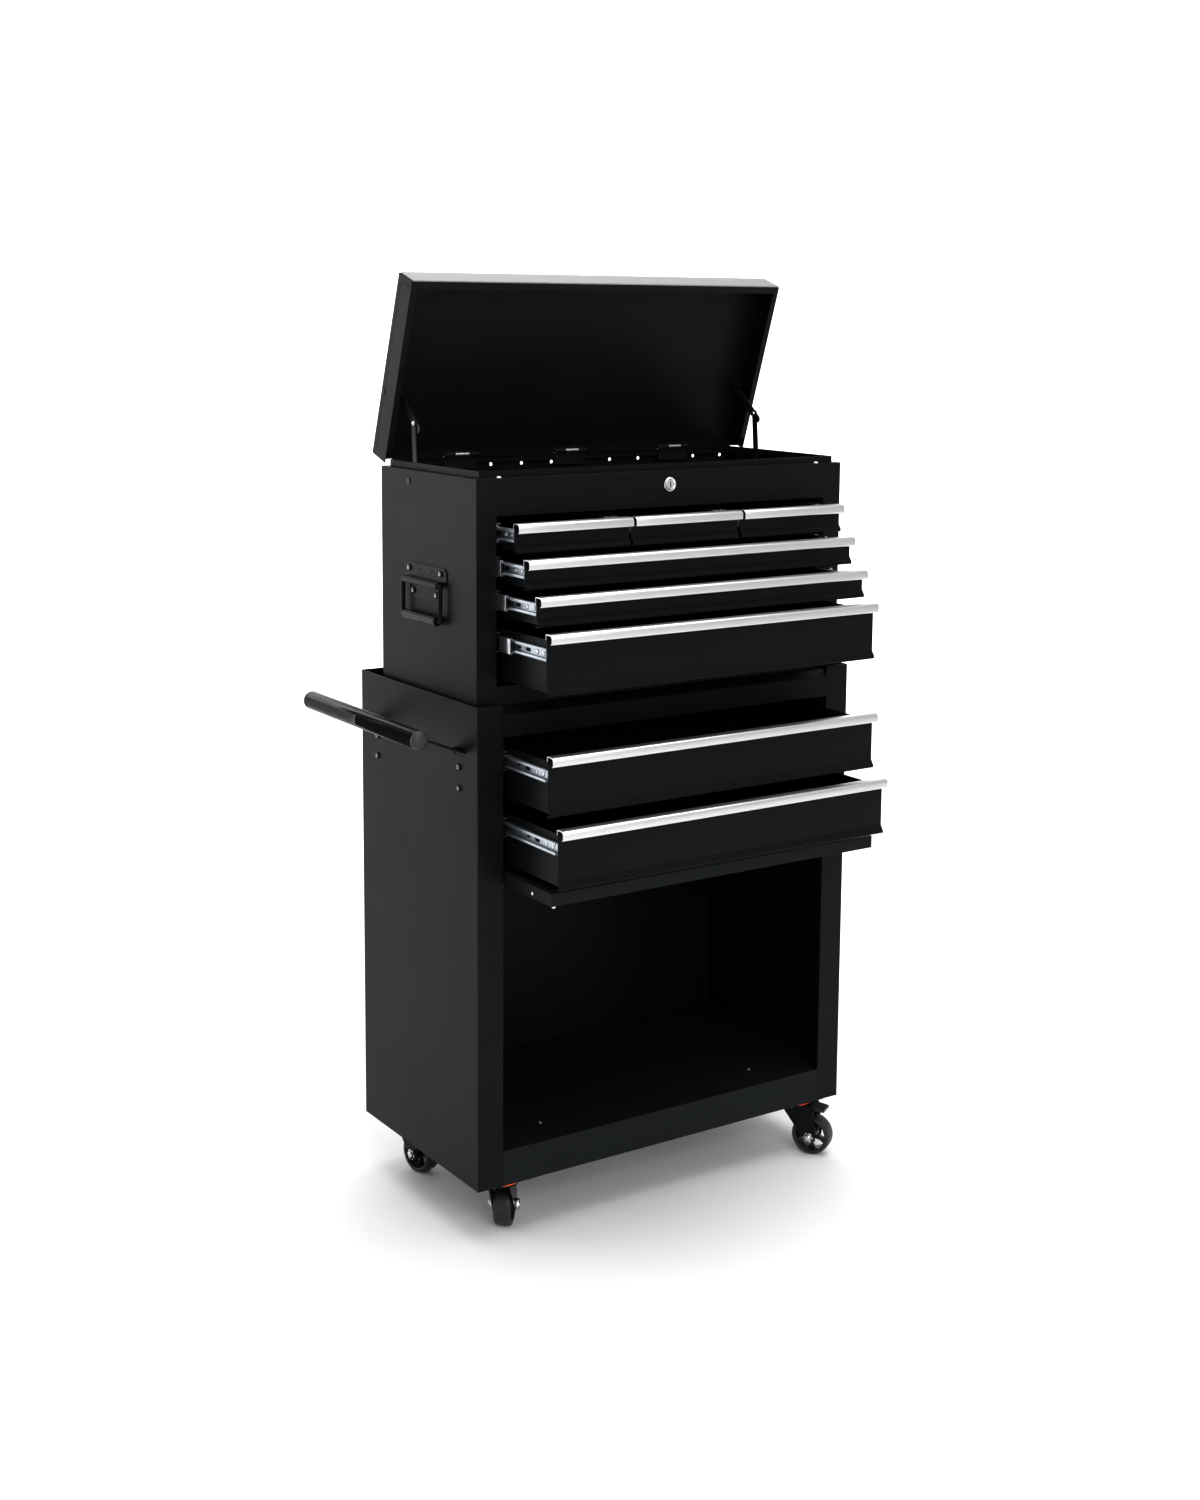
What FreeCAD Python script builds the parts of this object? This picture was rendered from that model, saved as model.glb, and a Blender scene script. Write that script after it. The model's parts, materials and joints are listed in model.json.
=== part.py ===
import FreeCAD, Part
import math
import os
from FreeCAD import Vector

# Rolling tool chest: a lidded top chest standing in the tray of a rolling cabinet.
# Millimetres. While a piece is built, X runs from the cabinet's left side to its right,
# Y from the cabinet's front face to its back and Z up from the cabinet's underside.
# Every piece is then moved so that the origin is the centre of the cabinet's underside.
# Pieces are built closed and then moved to the stored pose: lid up, drawers part open,
# door slid in over the compartment.

# ---- lower cabinet ---------------------------------------------------------------
CABINET_W = 616.0          # outside width
CABINET_D = 323.0          # outside depth
SHEET = 1.0                # steel sheet
STILE_W = 38.8             # front stile folded from each side panel
STILE_RETURN = 4.0         # short fold behind the stile's inner edge
REAR_FLANGE = 15.0         # side panel's fold behind the back panel
FLOOR_Z = 48.0             # compartment floor, and the height of its front apron
FLOOR_SLOT_L = 46.0
FLOOR_SLOT_SHORT = 13.0
BASE_T = 1.5               # base sheet that carries the casters
HEADER_FACE = 29.5         # upright face of the header over the lower drawers
LEDGE_RISE = 9.0           # sloped ledge above the header
LEDGE_RUN = 10.0
TRAY_DEPTH = 17.0          # side walls stand this far above the tray
TRAY_STEP = 3.0            # width of the ledge's flat top

# ---- top chest -------------------------------------------------------------------
CHEST_INSET = 8.3          # top chest is this much narrower on each side
CHEST_SETBACK = 16.4       # its front face behind the cabinet's front face
CHEST_D = 257.6
CHEST_STILE_W = 30.0
CHEST_RAIL_H = 38.0        # bottom rail
CHEST_HEADER_H = 49.0      # header that carries the lock
CHEST_RETURN = 5.0
SHOULDER_W = 8.9           # flat rim around the top
LIP_H = 8.9                # upright lip inside that rim
TILL_LIFT = 1.5            # till floor above the header's lower edge
REAR_HOLE_R = 2.5
REAR_HOLE_PITCH = 50.6
REAR_HOLES = 12
REAR_HOLE_DROP = 4.5       # below the shoulder

# ---- drawers ---------------------------------------------------------------------
FRONT_GAP = 2.7            # drawer front to stile
ROW_GAP = 5.0              # between rows in the top chest
TOP_GAP = 5.5
BOTTOM_GAP = 6.0
SHALLOW_H = 38.5           # front height
DEEP_H = 78.0
LOWER_GAP = 10.5           # between the two cabinet drawers
SMALL_GAP = 4.0            # between the fronts of the small drawers
SLIDE_SPACE = 12.5         # room for a ball slide on each side of a drawer
SLIDE_OFFSET = 7.5         # box side behind the end of its front
CHANNEL_H = 25.0           # fixed slide channel
CHANNEL_REACH = 11.5
RAIL_H = 17.0              # moving rail on the drawer
RAIL_REACH = 6.0
SLIDE_T = 1.0
SHALLOW_SLIDE_DROP = 16.5  # slide centre below the front's top edge
DEEP_SLIDE_DROP = 27.0
WALL_DROP = 9.0            # box walls below the front's top edge
LIP_FLARE = 5.0            # flared foot of every front
LIP_BAND = 11.0
LIP_FOOT = 3.5
PULL_H = 12.5
PULL_REACH = 12.0
PULL_T = 1.2
CHEST_SLIDE_LEN = 200.0
CHEST_TRAVEL = 150.0
CABINET_SLIDE_LEN = 250.0
CABINET_TRAVEL = 190.0
BOX_REAR_GAP = 30.0        # box end to back panel
SMALL_OPENING = 38.2       # how far each drawer stands open as stored
WIDE_1_OPENING = 63.0
WIDE_2_OPENING = 91.3
WIDE_3_OPENING = 115.7
LOWER_1_OPENING = 103.3
LOWER_2_OPENING = 127.1

# ---- door that slides in ---------------------------------------------------------
DOOR_T = 17.0
DOOR_GAP = 2.0             # door edge to the apron, and above the door to drawer 2
DOOR_SIDE_GAP = 3.7
DOOR_REACH = 365.5         # pin to the door's free edge
DOOR_PIN_BACK = 8.5        # pin to the door's hinged edge
DOOR_PIN_DEPTH = 12.0      # pin behind the door's face
DOOR_PIN_STORED = 255.5    # pin behind the cabinet's front face when slid in
DOOR_HEADROOM = 8.5        # over the stored door
PIN_R = 2.0
ROLLER_R = 4.0
RUN_FIT = 0.05             # radial clearance of pins and pivots
SCREW_R = 2.4

# ---- lid -------------------------------------------------------------------------
LID_OVERHANG = 6.5         # each side
LID_FRONT_OVERHANG = 8.4
LID_H = 38.5
LID_CLEAR = 2.5            # rims above the shoulder
LID_FLANGE = 9.0           # turned-in foot of the front and side rims
LID_OPEN_DEG = 71.5
HINGE_BACK = 14.5          # hinge axis in front of the chest's back face
HINGE_RISE = 12.0          # hinge axis above the shoulder
HINGE_PITCH = 182.0
HINGE_W = 52.0
KNUCKLE_R = 3.0
HINGE_PIN_R = 1.5
TRIM_T = 2.0

# ---- lid stays -------------------------------------------------------------------
STAY_FOOT_Y = 195.9        # lower pivot behind the cabinet's front face
STAY_FOOT_DROP = 15.0      # lower pivot below the shoulder
STAY_LOWER_LEN = 76.3
STAY_UPPER_LEN = 63.3
STAY_HEAD_FRONT = 87.64    # upper pivot in front of the hinge axis, lid shut
STAY_HEAD_DROP = 8.85      # and below the lid's top
STAY_W = 11.0
STAY_T = 1.5
STAY_TAB = 12.0
STUD_R = 3.0

# ---- lock ------------------------------------------------------------------------
LOCK_Z_DROP = 19.0         # lock centre below the shoulder
LOCK_R = 10.0
LOCK_BODY_R = 8.0
PLUG_R = 6.0
LOCK_LEN = 20.0

# ---- carry handles on the top chest ----------------------------------------------
CARRY_Y = 149.0
CARRY_BARREL_Z = 146.0     # barrel below the shoulder
CARRY_STANDOFF = 7.3
CARRY_SPAN = 102.0
CARRY_DROP = 47.0
CARRY_ROD_R = 3.0
CARRY_GRIP_R = 6.3
CARRY_BARREL_R = 4.6

# ---- push handle on the cabinet's left side --------------------------------------
PUSH_REACH = 80.0
PUSH_Z = 616.5
PUSH_R = 12.7
PUSH_WALL = 1.5
PUSH_ARM_W = 28.0
PUSH_ARM_T = 3.0
PUSH_ARM_INSET = 47.5      # arm centre from the cabinet's front or back face
PUSH_SLOT_Z = 585.5
PUSH_FOOT_Z = 528.0
PUSH_SCREWS_Z = (536.8, 565.0)
CAP_LEN = 7.0

# ---- casters ---------------------------------------------------------------------
CASTER_H = 82.0            # floor to the cabinet's underside
CASTER_X = 54.0            # swivel centre from the cabinet's side
CASTER_Y = 31.0            # and from its front or back face
CASTER_PLATE = (62.0, 54.0, 2.5)
RING_R = 24.0
RING_T = 4.0
FORK_T = 2.0
WHEEL_R = 29.0
WHEEL_W = 24.0
CASTER_TRAIL = 28.0
AXLE_R = 4.0
KING_R = 4.0
PEDAL_LEN = 22.0
CASTERS = {                # trail direction of each wheel, degrees from +X
    "front_left": 50.0,
    "front_right": -59.0,
    "rear_left": -80.0,
    "rear_right": -100.0,
}

# ---- heights worked out from the sizes above -------------------------------------
DOOR_STORED_TOP = FLOOR_Z + DOOR_GAP + DOOR_REACH + DOOR_PIN_DEPTH
DOOR_PIN_Z = DOOR_STORED_TOP - DOOR_PIN_DEPTH
LOWER_2_TOP = DOOR_STORED_TOP + DOOR_HEADROOM + DEEP_H
LOWER_1_TOP = LOWER_2_TOP + LOWER_GAP + DEEP_H
HEADER_BOTTOM = LOWER_1_TOP + ROW_GAP
HEADER_TOP = HEADER_BOTTOM + HEADER_FACE
LEDGE_TOP = HEADER_TOP + LEDGE_RISE
CABINET_H = LEDGE_TOP + ROW_GAP
TRAY_Z = CABINET_H - TRAY_DEPTH
CHEST_OPEN_Z = TRAY_Z + CHEST_RAIL_H
WIDE_3_TOP = CHEST_OPEN_Z + BOTTOM_GAP + DEEP_H
WIDE_2_TOP = WIDE_3_TOP + ROW_GAP + SHALLOW_H
WIDE_1_TOP = WIDE_2_TOP + ROW_GAP + SHALLOW_H
SMALL_TOP = WIDE_1_TOP + ROW_GAP + SHALLOW_H
CHEST_OPEN_TOP = SMALL_TOP + TOP_GAP
SHOULDER_Z = CHEST_OPEN_TOP + CHEST_HEADER_H
LIP_TOP = SHOULDER_Z + LIP_H
TILL_Z = CHEST_OPEN_TOP + TILL_LIFT

CHEST_X0 = CHEST_INSET
CHEST_X1 = CABINET_W - CHEST_INSET
CHEST_Y0 = CHEST_SETBACK
CHEST_Y1 = CHEST_SETBACK + CHEST_D
LIP_INSET = SHOULDER_W
HINGE_Y = CHEST_Y1 - HINGE_BACK
HINGE_Z = SHOULDER_Z + HINGE_RISE
LID_X0 = CHEST_X0 - LID_OVERHANG
LID_X1 = CHEST_X1 + LID_OVERHANG
LID_Y0 = CHEST_Y0 - LID_FRONT_OVERHANG
LID_Y1 = CHEST_Y1 - LIP_INSET - 1.4 * SHEET
LID_Z0 = SHOULDER_Z + LID_CLEAR
LID_Z1 = LID_Z0 + LID_H
LID_REAR_Z0 = LIP_TOP + SHEET
FRONT_X0 = STILE_W + FRONT_GAP
FRONT_X1 = CABINET_W - FRONT_X0
WIDE_BOX_X0 = FRONT_X0 + SLIDE_OFFSET
WIDE_BOX_X1 = CABINET_W - WIDE_BOX_X0
POST_X = WIDE_BOX_X0 - SLIDE_SPACE
SMALL_W = (FRONT_X1 - FRONT_X0 - 2 * SMALL_GAP) / 3
DOOR_X0 = STILE_W + DOOR_SIDE_GAP
DOOR_X1 = CABINET_W - DOOR_X0
LOCK_Z = SHOULDER_Z - LOCK_Z_DROP
CARRY_Z = SHOULDER_Z - CARRY_BARREL_Z
WHEEL_Z = WHEEL_R - CASTER_H
FORK_TOP_Z = -(CASTER_PLATE[2] + RING_T + 0.4)
PEDAL_X = RING_R + 3.0                  # brake pivot behind the swivel centre
PEDAL_Z = FORK_TOP_Z - 4.0
BACK_Y = CABINET_D - 2 * SHEET          # inner face of the cabinet's back panel
STAY_X0 = CHEST_X0 + LIP_INSET + 1.5 * SHEET
X_AXIS, Y_AXIS, Z_AXIS = Vector(1, 0, 0), Vector(0, 1, 0), Vector(0, 0, 1)


# ---- helpers ---------------------------------------------------------------------
def box(x0, x1, y0, y1, z0, z1):
    return Part.makeBox(x1 - x0, y1 - y0, z1 - z0, Vector(x0, y0, z0))


def rod(x, y, z, radius, length, axis):
    return Part.makeCylinder(radius, length, Vector(x, y, z), axis)


def union(shapes):
    whole = shapes[0]
    if len(shapes) > 1:
        whole = whole.multiFuse(shapes[1:])
    return whole.removeSplitter()


def polygon(points):
    wire = Part.makePolygon([Vector(*p) for p in points] + [Vector(*points[0])])
    return Part.Face(wire)


def extrude_x(points, x0, x1):
    """Points are (y, z)."""
    return polygon([(x0, y, z) for y, z in points]).extrude(Vector(x1 - x0, 0, 0))


def extrude_y(points, y0, y1):
    """Points are (x, z)."""
    return polygon([(x, y0, z) for x, z in points]).extrude(Vector(0, y1 - y0, 0))


def extrude_z(points, z0, z1):
    """Points are (x, y)."""
    return polygon([(x, y, z0) for x, y in points]).extrude(Vector(0, 0, z1 - z0))


def folded(path, thickness):
    """Outline of a folded sheet whose other face lies to the left of the path."""
    offsets = []
    for i, point in enumerate(path):
        normals = []
        for a, b in ((i - 1, i), (i, i + 1)):
            if a >= 0 and b < len(path):
                du, dv = path[b][0] - path[a][0], path[b][1] - path[a][1]
                run = math.hypot(du, dv)
                normals.append((-dv / run, du / run))
        nu = sum(n[0] for n in normals) / len(normals)
        nv = sum(n[1] for n in normals) / len(normals)
        scale = thickness / (nu * nu + nv * nv)
        offsets.append((point[0] + nu * scale, point[1] + nv * scale))
    return list(path) + offsets[::-1]


def mirror_x(shape):
    return shape.mirror(Vector(CABINET_W / 2, 0, 0), X_AXIS)


def mirror_y(shape):
    return shape.mirror(Vector(0, CABINET_D / 2, 0), Y_AXIS)


def both_sides(shape):
    return Part.makeCompound([shape, mirror_x(shape)])


def moved(shape, dx=0.0, dy=0.0, dz=0.0):
    copy = shape.copy()
    copy.translate(Vector(dx, dy, dz))
    return copy


def lid_up(shape):
    copy = shape.copy()
    copy.rotate(Vector(0, HINGE_Y, HINGE_Z), X_AXIS, -LID_OPEN_DEG)
    return copy


def link(a, b, width, x0, x1, bore_a, bore_b, tab=0.0):
    """Flat strip with round ends between two (y, z) pivots; tab lengthens end b."""
    run = math.dist(a, b)
    strip = [rod(x0, 0, 0, width / 2, x1 - x0, X_AXIS),
             box(x0, x1, 0, run + tab, -width / 2, width / 2)]
    strip.append(rod(x0, run + tab, 0, width / 2, x1 - x0, X_AXIS))
    shape = union(strip)
    for at, bore in ((0.0, bore_a), (run, bore_b)):
        if bore:
            shape = shape.cut(rod(x0 - 1, at, 0, bore, x1 - x0 + 2, X_AXIS))
    shape.rotate(Vector(0, 0, 0), X_AXIS, math.degrees(math.atan2(b[1] - a[1], b[0] - a[0])))
    shape.translate(Vector(0, a[0], a[1]))
    return shape


# ---- lower cabinet ---------------------------------------------------------------
def arm_centres():
    return (PUSH_ARM_INSET, CABINET_D - PUSH_ARM_INSET)


def side_panel():
    path = [(REAR_FLANGE, CABINET_D), (0, CABINET_D), (0, 0), (STILE_W, 0), (STILE_W, STILE_RETURN)]
    return extrude_z(folded(path, SHEET), 0, CABINET_H)


def side_panels():
    left, right = side_panel(), mirror_x(side_panel())
    for y in arm_centres():
        half = PUSH_ARM_W / 2 + 1
        left = left.cut(box(-1, SHEET + 1, y - half, y + half, PUSH_SLOT_Z - 5, PUSH_SLOT_Z + 4))
        for z in PUSH_SCREWS_Z:
            left = left.cut(rod(-1, y, z, SCREW_R + RUN_FIT, SHEET + 2, X_AXIS))
    return Part.makeCompound([left, right])


def back_panel():
    return box(SHEET, CABINET_W - SHEET, BACK_Y, BACK_Y + SHEET, 0, CABINET_H)


def deck(z0, z1):
    """Sheet across the cabinet, stepped around the folds behind the stiles."""
    behind = STILE_RETURN + 0.5
    return union([box(SHEET, CABINET_W - SHEET, behind, BACK_Y, z0, z1),
                  box(STILE_W, CABINET_W - STILE_W, SHEET, behind, z0, z1)])


def floor_pan():
    floor = union([deck(FLOOR_Z - SHEET, FLOOR_Z),
                   box(STILE_W, CABINET_W - STILE_W, 0, SHEET, 0, FLOOR_Z)])
    for x, length in ((CABINET_W / 2 - 10.0, FLOOR_SLOT_L),
                      (CABINET_W - STILE_W - 19.0, FLOOR_SLOT_SHORT)):
        floor = floor.cut(box(x, x + length, 26.0, 29.0, FLOOR_Z - 2, FLOOR_Z + 1))
    base = deck(0, BASE_T)
    for x, y, _ in caster_places().values():
        for bx, by in plate_bolts(x, y):
            base = base.cut(rod(bx, by, -1, SCREW_R + RUN_FIT, BASE_T + 2, Z_AXIS))
    return Part.makeCompound([floor, base])


def top_tray():
    step = LEDGE_RUN + TRAY_STEP
    path = [(BACK_Y, TRAY_Z), (step, TRAY_Z), (step, LEDGE_TOP), (LEDGE_RUN, LEDGE_TOP),
            (0, HEADER_TOP), (0, HEADER_BOTTOM), (LEDGE_RUN, HEADER_BOTTOM)]
    middle = extrude_x(folded(path, SHEET), STILE_W, CABINET_W - STILE_W)
    floor = box(SHEET, CABINET_W - SHEET, step, BACK_Y, TRAY_Z - SHEET, TRAY_Z)
    return union([middle, floor])


# ---- top chest -------------------------------------------------------------------
def ring(inset, width, z0, z1):
    outer = box(CHEST_X0 + inset, CHEST_X1 - inset, CHEST_Y0 + inset, CHEST_Y1 - inset, z0, z1)
    inner = inset + width
    return outer.cut(box(CHEST_X0 + inner, CHEST_X1 - inner, CHEST_Y0 + inner, CHEST_Y1 - inner,
                         z0 - 1, z1 + 1))


def chest_rim():
    return union([ring(0, SHOULDER_W + SHEET, SHOULDER_Z - SHEET, SHOULDER_Z),
                  ring(LIP_INSET, SHEET, SHOULDER_Z - SHEET, LIP_TOP)])


def front_zone():
    depth = CHEST_Y0 + LIP_INSET + SHEET
    return box(0, CABINET_W, 0, depth, SHOULDER_Z - SHEET, LIP_TOP + 1)


def chest_wrap():
    path = [(CHEST_X1, CHEST_Y0 + SHEET), (CHEST_X1, CHEST_Y1), (CHEST_X0, CHEST_Y1),
            (CHEST_X0, CHEST_Y0 + SHEET)]
    walls = extrude_z(folded(path, SHEET), TRAY_Z, SHOULDER_Z)
    wrap = union([walls.cut(front_zone()), chest_rim().cut(front_zone())])
    first = CABINET_W / 2 - REAR_HOLE_PITCH * (REAR_HOLES - 1) / 2
    for i in range(REAR_HOLES):
        wrap = wrap.cut(rod(first + i * REAR_HOLE_PITCH, CHEST_Y1 - 2, SHOULDER_Z - REAR_HOLE_DROP,
                            REAR_HOLE_R, 4, Y_AXIS))
    for y, z in carry_screws():
        for x in (CHEST_X0 - 1, CHEST_X1 - 2):
            wrap = wrap.cut(rod(x, y, z, SCREW_R + RUN_FIT, 3, X_AXIS))
    for x in (CHEST_X0 - 1, CHEST_X1 - 2):
        wrap = wrap.cut(rod(x, STAY_FOOT_Y, SHOULDER_Z - STAY_FOOT_DROP, STUD_R + RUN_FIT, 3, X_AXIS))
    return wrap


def chest_front():
    y0, y1 = CHEST_Y0, CHEST_Y0 + SHEET
    face = box(CHEST_X0, CHEST_X1, y0, y1, TRAY_Z, SHOULDER_Z)
    left, right = CHEST_X0 + CHEST_STILE_W, CHEST_X1 - CHEST_STILE_W
    face = face.cut(box(left, right, y0 - 1, y1 + 1, CHEST_OPEN_Z, CHEST_OPEN_TOP))
    depth = y0 + CHEST_RETURN
    frame = box(left - SHEET, right + SHEET, y0, depth, CHEST_OPEN_Z - SHEET,
                CHEST_OPEN_TOP + SHEET)
    frame = frame.cut(box(left, right, y0 - 1, depth + 1, CHEST_OPEN_Z, CHEST_OPEN_TOP))
    front = union([face, frame, chest_rim().common(front_zone())])
    return front.cut(rod(CABINET_W / 2, y0 - 1, LOCK_Z, LOCK_BODY_R + RUN_FIT, 4, Y_AXIS))


def chest_decks():
    inside = SHEET
    floor = box(CHEST_X0 + inside, CHEST_X1 - inside, CHEST_Y0 + inside, CHEST_Y1 - inside,
                TRAY_Z, TRAY_Z + SHEET)
    till = box(CHEST_X0 + inside, CHEST_X1 - inside, CHEST_Y0 + inside, CHEST_Y1 - inside,
               TILL_Z, TILL_Z + SHEET)
    return Part.makeCompound([floor, till])


# ---- drawers ---------------------------------------------------------------------
def drawer_table():
    """name: (front x0, x1, box x0, x1, top z, height, face y, opening, in the chest?)"""
    table = {}
    for i, name in enumerate(("small_left", "small_middle", "small_right")):
        x0 = FRONT_X0 + i * (SMALL_W + SMALL_GAP)
        x1 = x0 + SMALL_W
        half = SMALL_GAP / 2 - SHEET / 2          # divider's faces from the fronts' ends
        b0 = WIDE_BOX_X0 if i == 0 else x0 - half + SLIDE_SPACE
        b1 = WIDE_BOX_X1 if i == 2 else x1 + half - SLIDE_SPACE
        table[name] = (x0, x1, b0, b1, SMALL_TOP, SHALLOW_H, CHEST_Y0, SMALL_OPENING, True)
    wide = (FRONT_X0, FRONT_X1, WIDE_BOX_X0, WIDE_BOX_X1)
    table["wide_upper"] = wide + (WIDE_1_TOP, SHALLOW_H, CHEST_Y0, WIDE_1_OPENING, True)
    table["wide_middle"] = wide + (WIDE_2_TOP, SHALLOW_H, CHEST_Y0, WIDE_2_OPENING, True)
    table["wide_deep"] = wide + (WIDE_3_TOP, DEEP_H, CHEST_Y0, WIDE_3_OPENING, True)
    table["lower_upper"] = wide + (LOWER_1_TOP, DEEP_H, 0.0, LOWER_1_OPENING, False)
    table["lower_bottom"] = wide + (LOWER_2_TOP, DEEP_H, 0.0, LOWER_2_OPENING, False)
    return table


def slide_centre(top, height):
    return top - (SHALLOW_SLIDE_DROP if height < DEEP_H else DEEP_SLIDE_DROP)


def box_rear(in_chest):
    return (CHEST_Y1 if in_chest else CABINET_D) - BOX_REAR_GAP


def drawer_box(x0, x1, b0, b1, top, height, face, opening, in_chest):
    bottom = top - height
    path = [(face, top - PULL_T), (face, bottom + LIP_BAND), (face - LIP_FLARE, bottom + LIP_FOOT),
            (face - LIP_FLARE, bottom), (face + 3 * SHEET, bottom)]
    front = extrude_x(folded(path, SHEET), x0, x1)
    y0, y1 = face + SHEET, box_rear(in_chest)
    z0, z1 = bottom + SHEET, top - WALL_DROP
    tray = box(b0, b1, y0, y1, z0, z1).cut(
        box(b0 + SHEET, b1 - SHEET, y0 - 1, y1 - SHEET, z0 + SHEET, z1 + 1))
    return moved(union([front, tray]), dy=-opening)


def drawer_pull(x0, x1, b0, b1, top, height, face, opening, in_chest):
    nose, foot = face - PULL_REACH, top - PULL_H
    path = [(nose + 3, foot), (nose, foot), (nose, top - 4), (nose + 4, top),
            (face + 2 * SHEET + PULL_T, top)]
    hook = extrude_x(folded([(y, z) for y, z in path[::-1]], PULL_T), x0, x1)
    clip = box(x0, x1, face + 2 * SHEET, face + 2 * SHEET + PULL_T, top - 7, top - PULL_T / 2)
    return moved(union([hook, clip]), dy=-opening)


def channel(x_web, x_edge, half, y0, y1, z):
    """Slide member: an upright web at x_web with flanges reaching to x_edge."""
    out = 1 if x_edge > x_web else -1
    web = sorted((x_web, x_web + out * SLIDE_T))
    arm = sorted((x_web, x_edge))
    return union([box(web[0], web[1], y0, y1, z - half, z + half),
                  box(arm[0], arm[1], y0, y1, z + half - SLIDE_T, z + half),
                  box(arm[0], arm[1], y0, y1, z - half, z - half + SLIDE_T)])


def drawer_rails(x0, x1, b0, b1, top, height, face, opening, in_chest):
    z = slide_centre(top, height)
    start = face + (4.0 if in_chest else 9.0)
    length = CHEST_SLIDE_LEN if in_chest else CABINET_SLIDE_LEN
    rails = [channel(b0, b0 - RAIL_REACH, RAIL_H / 2, start, start + length, z),
             channel(b1, b1 + RAIL_REACH, RAIL_H / 2, start, start + length, z)]
    return moved(Part.makeCompound(rails), dy=-opening)


def slide_channels():
    parts = []
    for x0, x1, b0, b1, top, height, face, opening, in_chest in drawer_table().values():
        z = slide_centre(top, height)
        start = face + CHEST_RETURN + 1.1
        length = CHEST_SLIDE_LEN if in_chest else CABINET_SLIDE_LEN
        for web, out in ((b0 - SLIDE_SPACE, 1), (b1 + SLIDE_SPACE, -1)):
            parts.append(channel(web, web + out * CHANNEL_REACH, CHANNEL_H / 2,
                                 start, start + length, z))
    return Part.makeCompound(parts)


def post(x_wall, y, z0, z1):
    path = [(x_wall, y), (POST_X, y), (POST_X, y + 15.0)]
    return extrude_z(folded(path, SHEET), z0, z1)


def slide_posts():
    low = DOOR_STORED_TOP - DOOR_T - 10.0
    parts = []
    for y in (STILE_RETURN + 9.0, BACK_Y - 28.0):
        parts.append(both_sides(post(SHEET, y, low, TRAY_Z - SHEET)))
    for y in (CHEST_Y0 + CHEST_RETURN + 6.0, CHEST_Y1 - 45.0):
        parts.append(both_sides(post(CHEST_X0 + SHEET, y, TRAY_Z + SHEET, TILL_Z)))
    for i in (1, 2):
        x = FRONT_X0 + i * (SMALL_W + SMALL_GAP) - SMALL_GAP / 2
        parts.append(box(x - SHEET / 2, x + SHEET / 2, CHEST_Y0 + CHEST_RETURN + 1, CHEST_Y1 - 40.0,
                         WIDE_1_TOP + ROW_GAP, TILL_Z))
    return Part.makeCompound([s for p in parts for s in p.Solids])


# ---- door that flips down and slides in ------------------------------------------
def door_panel():
    top, bottom = DOOR_STORED_TOP, DOOR_STORED_TOP - DOOR_T
    y0, y1 = DOOR_PIN_STORED - DOOR_REACH, DOOR_PIN_STORED + DOOR_PIN_BACK
    pan = box(DOOR_X0, DOOR_X1, y0, y1, bottom, top).cut(
        box(DOOR_X0 + SHEET, DOOR_X1 - SHEET, y0 + SHEET, y1 - SHEET, bottom - 1, top - SHEET))
    return pan.cut(rod(DOOR_X0 - 1, DOOR_PIN_STORED, DOOR_PIN_Z, PIN_R + RUN_FIT,
                       DOOR_X1 - DOOR_X0 + 2, X_AXIS))


def door_pins():
    roller_x = POST_X + SHEET + 0.3
    width = DOOR_X0 - roller_x - 0.6
    pin = rod(roller_x, DOOR_PIN_STORED, DOOR_PIN_Z, PIN_R, width + 7.0, X_AXIS)
    roller = rod(roller_x, DOOR_PIN_STORED, DOOR_PIN_Z, ROLLER_R, width, X_AXIS)
    return both_sides(union([pin, roller]))


def door_rails():
    web, reach = POST_X, DOOR_X0 - 0.6
    half = ROLLER_R + 0.2
    z0, z1 = DOOR_PIN_Z - half - SHEET, DOOR_PIN_Z + half + SHEET
    y0, y1 = STILE_RETURN + 1, DOOR_PIN_STORED + ROLLER_R + 20.0
    rail = union([box(web, web + SHEET, y0, y1, z0, z1),
                  box(web, reach, y0, y1, z0, z0 + SHEET),
                  box(web, reach, y0, y1, z1 - SHEET, z1)])
    return both_sides(rail)


# ---- lid, hinges and stays -------------------------------------------------------
def hinge_centres():
    return [CABINET_W / 2 + i * HINGE_PITCH for i in (-1, 0, 1)]


def stay_head_closed():
    return HINGE_Y - STAY_HEAD_FRONT, LID_Z1 - STAY_HEAD_DROP


def stay_head_open():
    turn = -math.radians(LID_OPEN_DEG)
    y, z = stay_head_closed()[0] - HINGE_Y, stay_head_closed()[1] - HINGE_Z
    return (HINGE_Y + y * math.cos(turn) - z * math.sin(turn),
            HINGE_Z + y * math.sin(turn) + z * math.cos(turn))


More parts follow.
